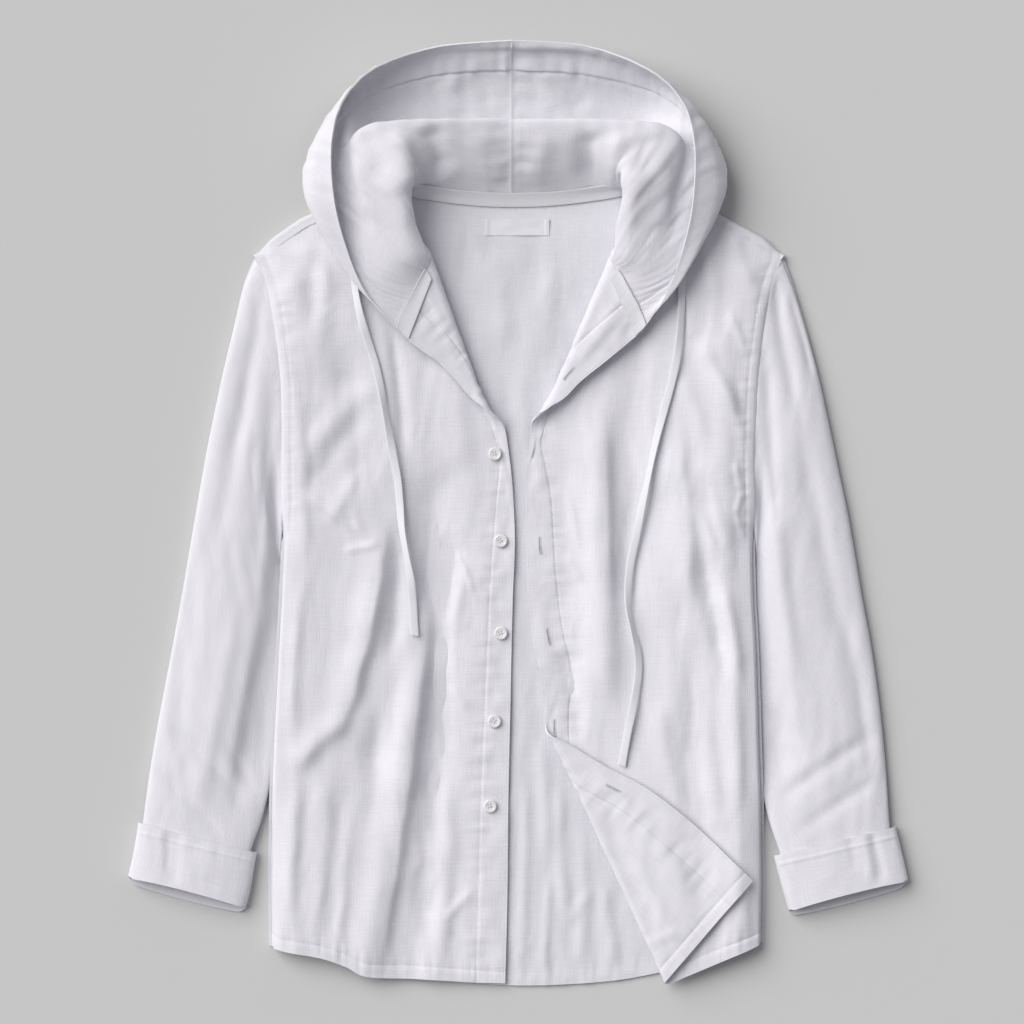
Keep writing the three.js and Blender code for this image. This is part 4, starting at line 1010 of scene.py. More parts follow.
def satin_material():
    """Label ribbon: smooth, with the faint ribs of its weft."""
    material, tree, shader = principled("label_satin", (0.68, 0.68, 0.7), 0.42)
    ribs = threads(tree, cloth_place(tree), 1500.0, (0.03, 1.0))
    relieved(tree, shader, ribs, 0.3, 0.0002)
    tinted(tree, shader, ribs, (0.7, 0.7, 0.73), (0.82, 0.82, 0.85))
    return material


def grained(name, colour, roughness, dark, light, **grain):
    """Finish with a fine cloudy grain between two tones."""
    material, tree, shader = principled(name, colour, roughness)
    place = node(tree, "ShaderNodeTexCoord").outputs["Object"]
    cloud = node(tree, "ShaderNodeTexNoise", **grain)
    tree.links.new(place, cloud.inputs["Vector"])
    tinted(tree, shader, cloud.outputs["Fac"], dark, light)
    return material, shader


def pearl_material():
    """Button: pearly shell with faint clouds."""
    material, shader = grained(
        "button_pearl", (0.84, 0.82, 0.82), 0.22, (0.68, 0.67, 0.69), (0.9, 0.88, 0.87),
        Scale=260.0, Detail=3.0, Distortion=1.2)
    shader.inputs["Coat Weight"].default_value = 0.35
    shader.inputs["Coat Roughness"].default_value = 0.12
    return material


def thread_painted_shade_material():
    """Sewing thread, with the fuzz of its twist, toned darker than the linen as painted shade along the
    stitched lines.
    """
    return grained(
        "sewing_thread_painted_shade", (0.72, 0.72, 0.76), 0.6, (0.6, 0.6, 0.64), (0.78, 0.78, 0.81), Scale=3000.0)[0]


def slit_shade_material():
    """Painted shade inside a buttonhole's slit: a dark grey finish."""
    return grained(
        "buttonhole_slit_shade", (0.3, 0.3, 0.33), 0.95, (0.22, 0.22, 0.25), (0.38, 0.38, 0.41), Scale=1800.0)[0]


WHITE = linen_material("linen_white", (0.8, 0.79, 0.83), (0.7, 0.69, 0.735))
# the same linen toned darker for the back: painted shade where it lies under the fronts
LINEN_PAINTED_SHADE = linen_material("linen_painted_shade", (0.75, 0.742, 0.785), (0.66, 0.652, 0.695))
TAPE_WEAVE = twill_material("neck_tape_twill", (0.86, 0.86, 0.88), (0.74, 0.74, 0.77), 5200.0)
CORD_WEAVE = twill_material("drawstring_weave", (0.86, 0.86, 0.88), (0.7, 0.7, 0.73), 3600.0)
SATIN = satin_material()
PEARL = pearl_material()
# thread toned darker than the linen: painted shade along the stitched lines
THREAD_PAINTED_SHADE = thread_painted_shade_material()
# dark grey sheet in each buttonhole: painted shade of the slit
SLIT_SHADE = slit_shade_material()


def front_fine(side, x, y):
    """Small form of a front's chest, away from its edges, at places of the plan."""
    name = f"front_{side}"
    seed = 3 if side == "right" else 17
    inward = read(SIDE_EDGE[side], y) - np.abs(x)
    calm = ease(3, 22, inward)
    return calm * (creases(CREASES[name], x, y, seed) + crumple(x, y, seed))


def front_grid(side):
    """Fine grid of a front, x rising along each row, with rows and columns beside its sewn lines.

    Returns the points, the flat pattern, and the distances from the front edge and from the hem.
    """
    low_rows = np.array([0, 0.8, 3, 6, 9, 10.6, 11.4, 13, 16]) / FRONT_LONG
    up = np.concatenate([low_rows, np.linspace(20 / FRONT_LONG, 1, 258)])
    line = PLACKET[side]
    near = np.array([
        0, 0.7, 2, 4.5, 7.5, 10.5, 13.5, 16.5, 19.5, 22.5, line - 2.5, line - 0.9, line - 0.35,
        line + 0.35, line + 1.2, line + 3])
    rest = np.concatenate([np.linspace(0, 0.94, 96)[1:], np.linspace(0.94, 1, 10)[1:]])
    one = np.ones_like(up)
    rolled = front_flat(side, up, one, 0 * one)
    wide = np.linalg.norm(front_flat(side, up, one, one) - rolled, axis=1)[:, None]
    chest = np.linalg.norm(front_flat(side, up, 0 * one, 0 * one) - rolled, axis=1)[:, None]
    outer = near[-1] + rest * (wide + chest - near[-1])
    from_edge = np.concatenate([np.broadcast_to(near, (len(up), len(near))), outer], 1)[:, ::-1]
    beyond = clamp(1 - from_edge / wide, 0, 1)
    across = clamp(1 - (from_edge - wide) / chest, 0, 1)
    ups = np.broadcast_to(up[:, None], from_edge.shape)
    grid, flat = front_point(side, ups, across, beyond)
    from_hem = ups * FRONT_LONG
    if side == "left":
        grid, flat, from_edge, from_hem = (v[:, ::-1] for v in (grid, flat, from_edge, from_hem))
    return grid, flat, from_edge, from_hem


def tuck_shoulder(grid, over, up):
    """Draws a front's top edge up under the back's folded shoulder."""
    top_out = np.abs(grid[-1, :, 0])
    tuck = SHOULDER_TUCK * ease(114, 128, top_out) * ease(248, 238, top_out) * (over[-1] < 0.5)
    edge = unit(np.gradient(grid[-1, :, :2], axis=0))
    outward = np.stack([-edge[:, 1], edge[:, 0]], -1)
    grid[..., :2] += (outward * tuck[:, None]) * ease(0.96, 1, up)[..., None]


def front_relief(side, grid, flat, from_edge, from_hem, over):
    """Rise of a front's cloth off its plain shape, and where it is doubled, from 0 to 1."""
    seed = 5 if side == "right" else 21
    x = grid[..., 0]
    y = grid[..., 1]
    fy = flat[..., 1]
    turned = crumple(x + 400, y, seed) * 0.8
    if side == "left":
        turned = turned + creases(CREASES["flap"], x, y, 31)
    turned = turned + creases(CREASES[f"lapel_{side}"], x, y, 37)
    fine = front_fine(side, x, y) * (1 - over) - turned * over
    placket_line = from_edge - PLACKET[side]
    hem_line = from_hem - HEM_DEEP
    below_neck = 1 - ease(190, 240, fy) * (over < 0.5)
    face = 1 - 2 * over
    fine = fine + groove(placket_line, 1.2, 0.35 + 0.35 * over) * below_neck * face
    fine = fine + pucker(placket_line, fy, seed + 50, 13, 1.0, 10) * below_neck
    dents = noise(fy / 21, placket_line / 16, seed + 55)
    fine = fine + 0.9 * dents * np.exp(-(((placket_line + 12) / 14) ** 2)) * below_neck
    fine = fine + groove(hem_line) * face
    fine = fine + pucker(hem_line, flat[..., 0], seed + 60, 10, 0.9, 9)
    band = 1 - ease(-0.8, 0.8, placket_line)
    hem_band = 1 - ease(-0.8, 0.8, hem_line)
    doubled = np.maximum(band * below_neck, hem_band)
    inward = read(SIDE_EDGE[side], y) - np.abs(x)
    arm_line = inward - ARMHOLE_SEAM
    beside_arm = ease(-25, -5, y) * (1 - over)
    fine = fine + groove(arm_line) * beside_arm
    fine = fine + pucker(arm_line, y, seed + 70, 9, 1.0, 10) * beside_arm
    near_side = ease(1, 10, inward)
    return fine * (near_side * (1 - over) + over), doubled


def sew_front(side, grid, from_edge, from_hem):
    """Stitches of a front: placket, front edge, hem and armhole."""
    sewing = Sewing()
    rows = np.arange(grid.shape[0], dtype=float)
    cols = np.arange(grid.shape[1], dtype=float)
    top_row = 0.8 if side == "right" else 0.985
    keep = rows < top_row * rows[-1]
    placket_cols = where_level(from_edge, PLACKET[side], 1)
    sewing.on_cloth(grid, rows[keep], placket_cols[keep], BAND_EDGE, (1, -1))
    edge_cols = where_level(from_edge, EDGE_STITCH, 1)
    sewing.on_cloth(grid, rows, edge_cols, DOUBLED, (1, -1))
    hem_rows = where_level(from_hem, HEM_DEEP, 0)
    sewing.on_cloth(grid, hem_rows, cols, BAND_EDGE, (1, -1))
    arm_cols = where_level(arc_columns(grid), ARMHOLE_SEAM + 2, 1)
    if side == "left":
        arm_cols = cols[-1] - where_level(arc_columns(grid[:, ::-1]), ARMHOLE_SEAM + 2, 1)
    arm = (grid[:, 0 if side == "right" else -1, 1] > 0) & (rows < rows[-1] - 6)
    sewing.on_cloth(grid, rows[arm], arm_cols[arm], LINEN)
    return sewing.piece(f"front_{side}_stitching")


def front(side):
    """Front panel with its facing, hem, lapel and, on the left, the corner turned back."""
    grid, flat, from_edge, from_hem = front_grid(side)
    n = normals(grid)
    over = ease(0.25, -0.25, n[..., 2])
    tuck_shoulder(grid, over, from_hem / FRONT_LONG)
    fine, doubled = front_relief(side, grid, flat, from_edge, from_hem, over)
    seam_calm = ease(0, 6, arc_rows(grid)[-1] - arc_rows(grid))
    grid = grid + n * (fine * seam_calm)[..., None]
    grid[..., 2] = np.maximum(grid[..., 2], 2.1)
    wall = mix(LINEN, DOUBLED, doubled)
    piece = shell(f"shirt_front_{side}", grid, wall, WHITE, uv=flat * METRES)
    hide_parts(f"front_{side}")
    return piece, grid, flat, from_edge, sew_front(side, grid, from_edge, from_hem)


def shoulder_crest(x, y):
    """Height of the fronts' top edges, which the back's folded shoulders lie on."""
    right = front_height("right", np.abs(x), y)
    left = front_height("left", np.abs(x), y)
    return np.where(x < 0, right, left)


def back_sheet():
    """Grid of the back as it lies, its share across and its distances in from the side."""
    fine_step = np.arange(-128, 129, 2.5)
    outer = np.arange(134, 246, 6.0)
    spread = np.concatenate([-outer[::-1], fine_step, outer])
    share = np.interp(spread, [spread[0], spread[-1]], [0, 1])
    up = np.linspace(0, 1, 220)
    u = share[None, :]
    v = up[:, None]
    sides = []
    for side in ("right", "left"):
        rows = SIDE_EDGE[side]
        y = mix(rows[0][0], rows[-1][0], up)
        sides.append(np.stack([SIGN[side] * read(rows, y), y], -1))
    hem = walk(through(BACK_HEM, np.linspace(0, 1, 65)), share)
    top = walk(BACK_TOP, share)
    plan = []
    for k in (0, 1):
        low = hem[:, k] - mix(BACK_HEM[0][k], BACK_HEM[-1][k], share)
        high = top[:, k] - mix(BACK_TOP[0][k], BACK_TOP[-1][k], share)
        plan.append(mix(sides[0][:, k, None], sides[1][:, k, None], u) + (1 - v) * low + v * high)
    x, y = plan
    edge = np.where(x < 0, read(SIDE_EDGE["right"], y), read(SIDE_EDGE["left"], y))
    z = back_height(np.abs(x), y, edge)
    return np.stack([x, y, z], -1), share, edge - np.abs(x)


def back_relief(grid, from_hem, inward):
    """Rise of the back's cloth: its creases, and the ripples and groove of its hem."""
    x = grid[..., 0]
    y = grid[..., 1]
    calm = ease(10, 40, inward) * (1 - ease(255, 285, y))
    small = 1.4 + creases(CREASES["back"], x, y, 71) + 1.1 * crumple(x, y, 73)
    near_hem = np.exp(-((from_hem / 60) ** 2))
    small = small + near_hem * 0.7 * noise(x / 12, y / 50, 79)
    small = small + groove(from_hem - HEM_DEEP) + pucker(from_hem - HEM_DEEP, x, 81, 9, 0.6, 8)
    return calm * np.maximum(small, 0)


def shoulder_fold(last):
    """Rows that carry the back's top edge over at the shoulders, and up the neck between them."""
    before = last[np.maximum(np.arange(len(last)) - 1, 0)]
    after = last[np.minimum(np.arange(len(last)) + 1, len(last) - 1)]
    along = unit((after - before)[:, :2])
    outward = np.stack([-along[:, 1], along[:, 0], 0 * along[:, 0]], -1)
    over = ease(97, 113, np.abs(last[:, 0]))
    crest = shoulder_crest(last[:, 0], last[:, 1] - 3)
    radius = clamp((crest + 0.4 - FLOOR) / 2, 1.6, SHOULDER_FOLD)
    reach = SHOULDER_LAP * (0.7 + 0.3 * ease(0, 22, 243 - np.abs(last[:, 0])))
    folded = []
    for k in np.arange(0.5, 8.01, 0.5):
        turn = min(k, 5) / 5 * np.pi
        lap = max(k - 5, 0) / 3
        fold = radius * np.sin(turn) - reach * lap
        neck = min(k, 6)
        q = last + outward * mix(0.35 * neck + 0.02 * k, fold, over)[:, None]
        lid = shoulder_crest(q[:, 0], q[:, 1]) + 0.85 - FLOOR
        rise = mix(radius * (1 - np.cos(turn)), lid, ease(0, 1, lap))
        q[:, 2] = FLOOR + mix(0.3 * neck + 0.02 * k, rise, over)
        folded.append(q)
    return np.stack(folded)


def back():
    """Back panel: flat on the surface, lifted over the sleeves, folded over at the shoulders."""
    sheet, share, inward = back_sheet()
    from_hem = arc_rows(sheet)
    sheet[..., 2] += back_relief(sheet, from_hem, inward)
    sheet[..., 0] -= np.where(np.abs(share - 0.5) > 0.499, np.sign(sheet[..., 0]) * SEAM, 0)
    grid = np.concatenate([sheet, shoulder_fold(sheet[-1])], 0)
    wall = np.full(grid.shape[:2], LINEN)
    wall[:len(from_hem)] = mix(DOUBLED, LINEN, ease(-0.6, 0.6, from_hem - HEM_DEEP))
    # the back wears the darker linen: painted shade
    piece = shell("shirt_back", grid, wall, LINEN_PAINTED_SHADE, uv=grid[..., :2] * METRES)
    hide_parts("back")
    sewing = Sewing()
    cols = np.arange(grid.shape[1], dtype=float)
    sewing.on_cloth(grid, where_level(from_hem, HEM_DEEP, 0), cols, HEM_EDGE)
    return piece, sewing.piece("back_stitching")


def armhole_plan(side, share):
    """Place on the armhole, from its top to the underarm: distance out, y."""
    y = mix(238, -15, share)
    return read(SIDE_EDGE[side], y), y


def sleeve_grid(side, rings, around):
    """Tube of a sleeve, its turns starting at the outer fold and passing over the top first."""
    rows = SLEEVE[side]
    last = len(rows) - 1
    station = np.linspace(0, last, rings)
    turn = np.arange(around) / around * 2 * np.pi
    row = through(rows, station / last)
    share = (1 - np.cos(turn)) / 2
    sine = np.sin(turn)
    out = mix(row[:, None, 0], row[:, None, 2], share)
    y = mix(row[:, None, 1], row[:, None, 3], share)
    hold = clamp(1 - station / 3, 0, 1)[:, None] ** 1.5
    seam_out, seam_y = armhole_plan(side, share)
    gap = 1.9 * (sine < 0) - ARMHOLE_TUCK * (sine >= 0)
    out = out + hold * (seam_out + gap - mix(rows[0][0], rows[0][2], share))
    y = y + hold * (seam_y - mix(rows[0][1], rows[0][3], share))
    middle = (FLOOR + 2.7 * ease(9.6, 10.9, station) + SLEEVE_LOW)[:, None]
    filled = ease(0, 3, station) * (1 - ease(9.2, 10.8, station))
    full = mix(SLEEVE_HIGH, SLEEVE_FULL, filled)[:, None]
    under = ease(0.62, 0.86, share) * (ease(0.1, 1.5, station) * (1 - ease(8.4, 10.4, station)))[:, None]
    over_z = middle + full * (1 - 0.86 * under) * np.abs(sine) ** 0.6
    over_z = over_z - 0.5 * (1 - ease(0, 0.3, station))[:, None]
    under_z = middle - SLEEVE_LOW * np.abs(sine) ** 0.3
    z = np.where(sine >= 0, over_z, under_z)
    grid = np.stack([SIGN[side] * out, y, z], -1)
    visible = ease(0.05, 0.45, np.maximum(sine, 0)) * np.ones_like(out)
    return grid, visible, station[:, None] * np.ones_like(out)


def order(grid, side):
    """Turns a ringed grid's columns so that its normals point outwards."""
    return grid[:, ::-1] if side == "left" else grid


def sleeve(side):
    """Sleeve with its long soft folds and the short ones above the cuff."""
    grid, visible, station = sleeve_grid(side, 165, 112)
    n = normals(grid, True) * -SIGN[side]
    x = grid[..., 0]
    y = grid[..., 1]
    seed = 91 if side == "right" else 107
    small = creases(CREASES[f"sleeve_{side}"], x, y, seed) + 1.2 * crumple(x, y, seed, 1.1)
    cap = np.exp(-((station / 0.7) ** 2))
    small = small + cap * 0.9 * noise(y / 9, x / 30, seed + 3)
    ends = ease(0, 0.35, station) * (1 - ease(11.6, 12.4, station))
    grid = grid + n * (small * visible * ends)[..., None]
    grid = order(grid, side)
    piece = shell(f"shirt_sleeve_{side}", grid, LINEN, WHITE, ringed=True)
    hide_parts(f"sleeve_{side}")
    return piece


def cuff_grid(side, rings, around):
    """Tube of a cuff with its mouth open, and the share across and sine of its turns."""
    share = np.linspace(0, 1, rings)
    turn = np.arange(around) / around * 2 * np.pi
    row = through(CUFF[side], share)
    across = (1 - np.cos(turn)) / 2
    sine = np.sin(turn)
    middle = FLOOR + 2.4 + SLEEVE_LOW
    over_z = middle + (SLEEVE_HIGH + 2.6) * np.abs(sine) ** 0.6
    under_z = middle - (middle - CUFF_WALL / 2) * np.abs(sine) ** 0.3
    z = np.where(sine >= 0, over_z, under_z) * np.ones((rings, 1))
    out = mix(row[:, None, 0], row[:, None, 2], across)
    mouth = ease(0.2, 1, share)[:, None]
    drop = CUFF_DROP * mouth * np.sqrt(np.maximum(-sine, 0))
    bowed = CUFF_BOW * mouth * np.maximum(sine, 0)
    corner = 2.6 * mouth * (np.exp(-((across / 0.03) ** 2)) + np.exp(-(((1 - across) / 0.03) ** 2)))
    y = mix(row[:, None, 1], row[:, None, 3], across) - drop + bowed + corner
    return np.stack([SIGN[side] * out, y, z], -1), across, sine


def cuff(side):
    """Turned-back cuff: doubled cloth, stitched below its upper edge, open at the mouth."""
    around = 112
    grid, across, sine = cuff_grid(side, 42, around)
    n = normals(grid, True) * -SIGN[side]
    from_top = arc_rows(grid)
    deep = from_top[-1].max()
    round_at = np.broadcast_to(across * 110, from_top.shape)
    visible = ease(0.05, 0.45, np.maximum(sine, 0))
    seed = 131 if side == "right" else 139
    stitch_line = from_top - CUFF_STITCH
    small = 0.6 * crumple(grid[..., 0], grid[..., 1], seed)
    small = small + creases(CREASES[f"cuff_{side}"], grid[..., 0], grid[..., 1], seed)
    small = small + groove(stitch_line) + pucker(stitch_line, round_at, seed, 7, 0.45, 8)
    small = small + groove(from_top - (deep - 2.5), 1.0, 0.2)
    grid = order(grid + n * (small * visible)[..., None], side)
    piece = shell(f"shirt_cuff_{side}", grid, CUFF_CLOTH, WHITE, ringed=True)
    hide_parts(f"cuff_{side}")
    sewing = Sewing()
    first = 1 if side == "right" else around // 2 + 1
    cols = np.arange(first, first + around // 2 - 2, dtype=float)
    rows = where_level(arc_rows(grid), CUFF_STITCH, 0)
    sewing.on_cloth(grid, rows[cols.astype(int)], cols, CUFF_CLOTH)
    return piece, sewing.piece(f"cuff_{side}_stitching")


def lapel_seam(side, share, offset):
    """Points along the top edge of a lapel, moved off it by an offset."""
    beyond = mix(LAPEL_START, 1.0, share)
    ones = np.ones_like(beyond)
    edge, _ = front_point(side, ones, ones, beyond)
    inner, _ = front_point(side, 0.97 * ones, ones, beyond)
    return edge + unit(edge - inner) * offset[..., None]


def hood_sections(side):
    """Rows of points from the back seam to the lapel, one for every line from neck to rim."""
    lines = np.array(HOOD, float)
    if side == "left":
        lines[..., 0] += LEFT_SHIFT
        lines[LOBE_LINE] = LEFT_LOBE
        lines[RIM_LINE] = LEFT_RIM
        between = mix(np.array(LEFT_LOBE, float), np.array(LEFT_RIM, float), 0.45)
        lines[CURL_LINE] = between + np.array(LEFT_CURL)
        lines[CURL_LINE, 0, 0] = LEFT_RIM[0][0]
    lines[..., 0] *= SIGN[side]
    for line, lowest in HOOD_TROUGH:
        lines[line, 3:, 2] = np.maximum(lines[line, 3:, 2], lowest)
    share = np.linspace(0, 1, len(lines))
    offset = SEAM + np.where(share == 0, 0.9, 0.15)
    last = lapel_seam(side, share, offset)
    return np.concatenate([lines, last[:, None]], 1)


def hood_grid(side, around, across):
    """Fine grid of a hood half, from neck to rim, x rising along each row."""
    sections = hood_sections(side)
    line = through(sections.transpose(1, 0, 2), across)
    grid = through(line.transpose(1, 0, 2), around)
    grid[..., 2] = np.maximum(grid[..., 2], FLOOR)
    return grid[:, ::-1] if side == "right" else grid


def hood_relief(side, grid, down, from_seam, hem_line, band, shares):
    """Rise of a hood half's cloth: crumpling, the hem's band and the centre seam's ripples."""
    seed = 151 if side == "right" else 163
    x = grid[..., 0]
    y = grid[..., 1]
    small = 0.7 * crumple(from_seam, down, seed) * (1 - 0.4 * band)
    small = small + 0.7 * band + groove(hem_line + 1.5, 1.6, 0.9)
    small = small + pucker(hem_line, from_seam, seed, 12, 1.1, 10)
    ripple = noise(down / 11, from_seam / 60, seed + 5)
    small = small + 1.3 * ripple * np.exp(-((from_seam / 26) ** 2))
    streaks = noise(from_seam / 17, down / 75, seed + 6)
    small = small + 1.1 * streaks * (1 - band) * ease(6, 30, from_seam)
    facing_up = ease(0.05, 0.3, normals(grid)[..., 2])
    small = small + creases(CREASES[f"hood_{side}"], x, y, seed) * facing_up
    collar = 1 - 0.5 * ease(HOOD_COLLAR, 0.85, shares)
    small = small * collar * ease(0, 5, down) * (1 - ease(0.93, 1.0, shares))
    small = small * ease(0, 7, from_seam)
    small = small + 0.6 * np.exp(-((from_seam / 1.4) ** 2))
    gathers = noise(from_seam / 10, down / 45, seed + 11)
    small = small + 1.1 * gathers * band * (1 - ease(0.55, 0.7, shares))
    rim_calm = 1 - 0.7 * ease(-6, 0, down - down[-1])
    return small * rim_calm


def sew_hood(side, grid, around, from_seam, visible):
    """Stitches of a hood half: its rim's hem and, on the left half, the centre seam."""
    sewing = Sewing()
    cols = np.arange(grid.shape[1], dtype=float)
    rows = np.arange(grid.shape[0], dtype=float)
    hem_rows = np.interp(HOOD_HEM, around, rows) + 0 * cols
    sewing.on_cloth(grid, hem_rows[visible], cols[visible], HEM_EDGE)
    if side == "left":
        sewing.on_cloth(grid, rows, where_level(from_seam, SEAM_STITCH, 1), LINEN)
    return sewing.piece(f"hood_{side}_stitching")


def hood(side):
    """Hood half: wall, roll, tucked fold, inner crown and hemmed rim."""
    stitched = [HOOD_HEM - 0.006, HOOD_HEM - 0.0015, HOOD_HEM + 0.0015, HOOD_HEM + 0.006]
    around = np.sort(np.concatenate([np.linspace(0, 1, 156), stitched]))
    across = np.linspace(0, 1, 165)
    grid = hood_grid(side, around, across)
    n = normals(grid)
    shares = np.broadcast_to(across[::-1] if side == "right" else across, grid.shape[:2])
    down = arc_rows(grid)
    wide = arc_columns(grid)
    from_seam = wide[:, -1:] - wide if side == "right" else wide
    hem_at = np.array([np.interp(HOOD_HEM, around, down[:, i]) for i in range(down.shape[1])])
    band = ease(HOOD_HEM - 0.001, HOOD_HEM + 0.001, around)[:, None] * np.ones(grid.shape[:2])
    small = hood_relief(side, grid, down, from_seam, down - hem_at, band, shares)
    grid = grid + n * small[..., None]
    grid[..., 2] = np.maximum(grid[..., 2], 1.1)
    piece = shell(f"shirt_hood_{side}", grid, mix(LINEN, DOUBLED, band), WHITE)
    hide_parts(f"hood_{side}")
    return piece, sew_hood(side, grid, around, from_seam, shares[0] < HOOD_COLLAR)


def tape_piece(name, lines, node_name, columns):
    """Tape through three lines of points, with a row of stitches beside each edge."""
    share = np.linspace(0, 1, columns)
    smooth = np.stack([through(line, share) for line in lines])
    grid = through(smooth, np.linspace(0, 1, 13))
    ribs = 0.12 * noise(np.arange(columns) / 3.5, np.zeros(columns), 7)
    grid[..., 2] += ribs
    if normals(grid)[..., 2].mean() < 0:
        grid = grid[:, ::-1]
    place = np.stack([arc_rows(grid), arc_columns(grid)], -1) * METRES
    piece = shell(name, grid, TAPE_THICK, TAPE_WEAVE, uv=place)
    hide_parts(node_name)
    sewing = Sewing()
    cols = np.arange(columns, dtype=float)
    for row in (1.6, 10.4):
        sewing.on_cloth(grid, np.full(columns, row), cols, TAPE_THICK + 0.05)
    return piece, sewing.piece(f"{name}_stitching")


def back_tape():
    """Tape along the back neck seam."""
    x, y, *heights = np.array(TAPE, float).T
    lines = [np.stack([x, y + up, z], -1) for up, z in zip(TAPE_ROWS, heights)]
    return tape_piece("neck_tape_back", lines, "neck_tape", 120)


def lapel_tape(side):
    """Tape along the seam between a lapel and the hood."""
    share = mix(*LAPEL_TAPE, np.linspace(0, 1, 9))
    ones = np.ones_like(share)
    low, _ = front_point(side, LAPEL_TAPE_LOW * ones, ones, mix(LAPEL_START, 1.0, share))
    seam = lapel_seam(side, share, 0 * share)
    line = through(hood_sections(side), share)
    high = through(line.transpose(1, 0, 2), np.array([LAPEL_TAPE_HIGH]))[0]
    lines = [low, seam, high]
    for points in lines:
        points[:, 2] += LAPEL_TAPE_RISE
    return tape_piece(f"neck_tape_lapel_{side}", lines, f"neck_tape_{side}", 80)


def label():
    """Bare woven label, slightly bowed, with folded ends."""
    half = LABEL_LONG / 2
    x = np.linspace(-half, half, 61)
    y = LABEL_Y + np.linspace(-LABEL_WIDE / 2, LABEL_WIDE / 2, 17)
    grid = np.zeros((len(y), len(x), 3))
    grid[..., 0] = x
    grid[..., 1] = y[:, None]
    bow = 0.9 * np.cos(x / half * np.pi / 2)
    end = 0.5 * ease(25.5, 27, np.abs(x))
    wave = 0.35 * noise(x[None, :] / 14, y[:, None] / 9, 4)
    grid[..., 2] = 2.3 + bow + end + wave * (1 - ease(20, 26, np.abs(x)))
    piece = shell("neck_label", grid, 0.6, SATIN, uv=grid[..., :2] * METRES)
    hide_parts("label")
    sewing = Sewing()
    rows = np.linspace(0.5, 15.5, 17)
    for col in (2.5, 57.5):
        sewing.on_cloth(grid, rows, np.full(17, col), 0.65, pitch=1.8, long=1.4)
    return piece, sewing.piece("neck_label_stitching")


def button_holes():
    """Middles of a button's four holes."""
    angles = np.arange(4) * np.pi / 2 + np.pi / 4
    return HOLE_OUT * np.stack([np.cos(angles), np.sin(angles)], -1)


def button_disc(around):
    """Points and faces of a button: raised rim, dished face and sunk holes."""
    rings = np.array([
        0.0, 0.5, 0.9, 1.3, 1.7, 2.1, 2.5, 2.9, 3.3, 3.8, 4.3, 4.7, 5.1, 5.5, 5.8, 6.05, BUTTON_RADIUS])
    angle = np.arange(around) / around * 2 * np.pi
    radius, theta = np.meshgrid(rings, angle, indexing="ij")
    px = radius * np.cos(theta)
    py = radius * np.sin(theta)
    rim = 0.34 * np.exp(-(((radius - 5.0) / 1.0) ** 2))
    edge = -0.9 * ease(5.5, BUTTON_RADIUS, radius) ** 2
    top = BUTTON_HEIGHT - 0.35 + rim + edge
    for hx, hy in button_holes():
        top = top - 1.2 * (1 - ease(0.45, 0.95, np.hypot(px - hx, py - hy)))
    low = 0.35 * ease(4.6, BUTTON_RADIUS, radius) ** 2
    points = np.concatenate([np.stack([px, py, z], -1).reshape(-1, 3) for z in (top, low)])
    under = len(rings) * around
    index = np.arange(under).reshape(-1, around)
    index = np.concatenate([index, index[:, :1]], 1)
    a, b, c, d = corners(index)
    upper = np.stack([a, d, c, b], 1)
    both = np.stack([upper, upper[:, ::-1] + under], 1).reshape(-1, 4)
    last = index[-1]
    side = np.stack([last[:-1], last[:-1] + under, last[1:] + under, last[1:]], 1)
    return points, np.concatenate([both, side])


def button_thread(name, place, turn):
    """Two pairs of threads that cross a button's face from hole to hole."""
    sewing = Sewing()
    up = np.array([0.0, 0.0, 1.0])
    spin = np.array([[np.cos(turn), np.sin(turn)], [-np.sin(turn), np.cos(turn)]])
    holes = button_holes()
    for first, second in ((0, 2), (1, 3)):
        centre = (holes[first] + holes[second]) / 2
        along = unit(holes[second] - holes[first])
        for shift in (-0.2, 0.2):
            side = np.array([-along[1], along[0]]) * shift
            middle = np.array([*((centre + side) @ spin), BUTTON_HEIGHT - 0.3])
            sewing.stitch(place + middle, np.array([*(along @ spin), 0.0]), up, 3.9, 0.6)
    return sewing.piece(f"{name}_thread")


def button(name, place, degrees, node_name):
    """Four-hole shell button with its thread."""
    points, faces = button_disc(64)
    turn = np.radians(degrees)
    spin = np.array([[np.cos(turn), np.sin(turn), 0], [-np.sin(turn), np.cos(turn), 0], [0, 0, 1]])
    piece = new_object(name, points @ spin + place, faces, PEARL, smooth=40.0)
    tidy_centre(piece)
    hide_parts(node_name)
    button_thread(name, place, turn)


def tidy_centre(piece):
    """Merges the points that meet at the middle of a disc."""
    mesh = piece.data
    work = bmesh.new()
    work.from_mesh(mesh)
    bmesh.ops.remove_doubles(work, verts=work.verts, dist=1e-6)
    work.to_mesh(mesh)
    work.free()
    mesh.update()


def buttons():
    """The buttons down the right front, and the one folded under its lapel."""
    rows = [(*row, BUTTON_RISE, k + 2) for k, row in enumerate(BUTTONS)]
    rows.append((*TOP_BUTTON, 0, TOP_BUTTON_RISE, 1))
    for x, y, degrees, rise, number in rows:
        ground = front_height("right", np.array([-x], float), np.array([y], float))[0]
        place = np.array([x, y, ground + rise])
        button(f"shirt_button_{number}", place, degrees, f"button_{number}")


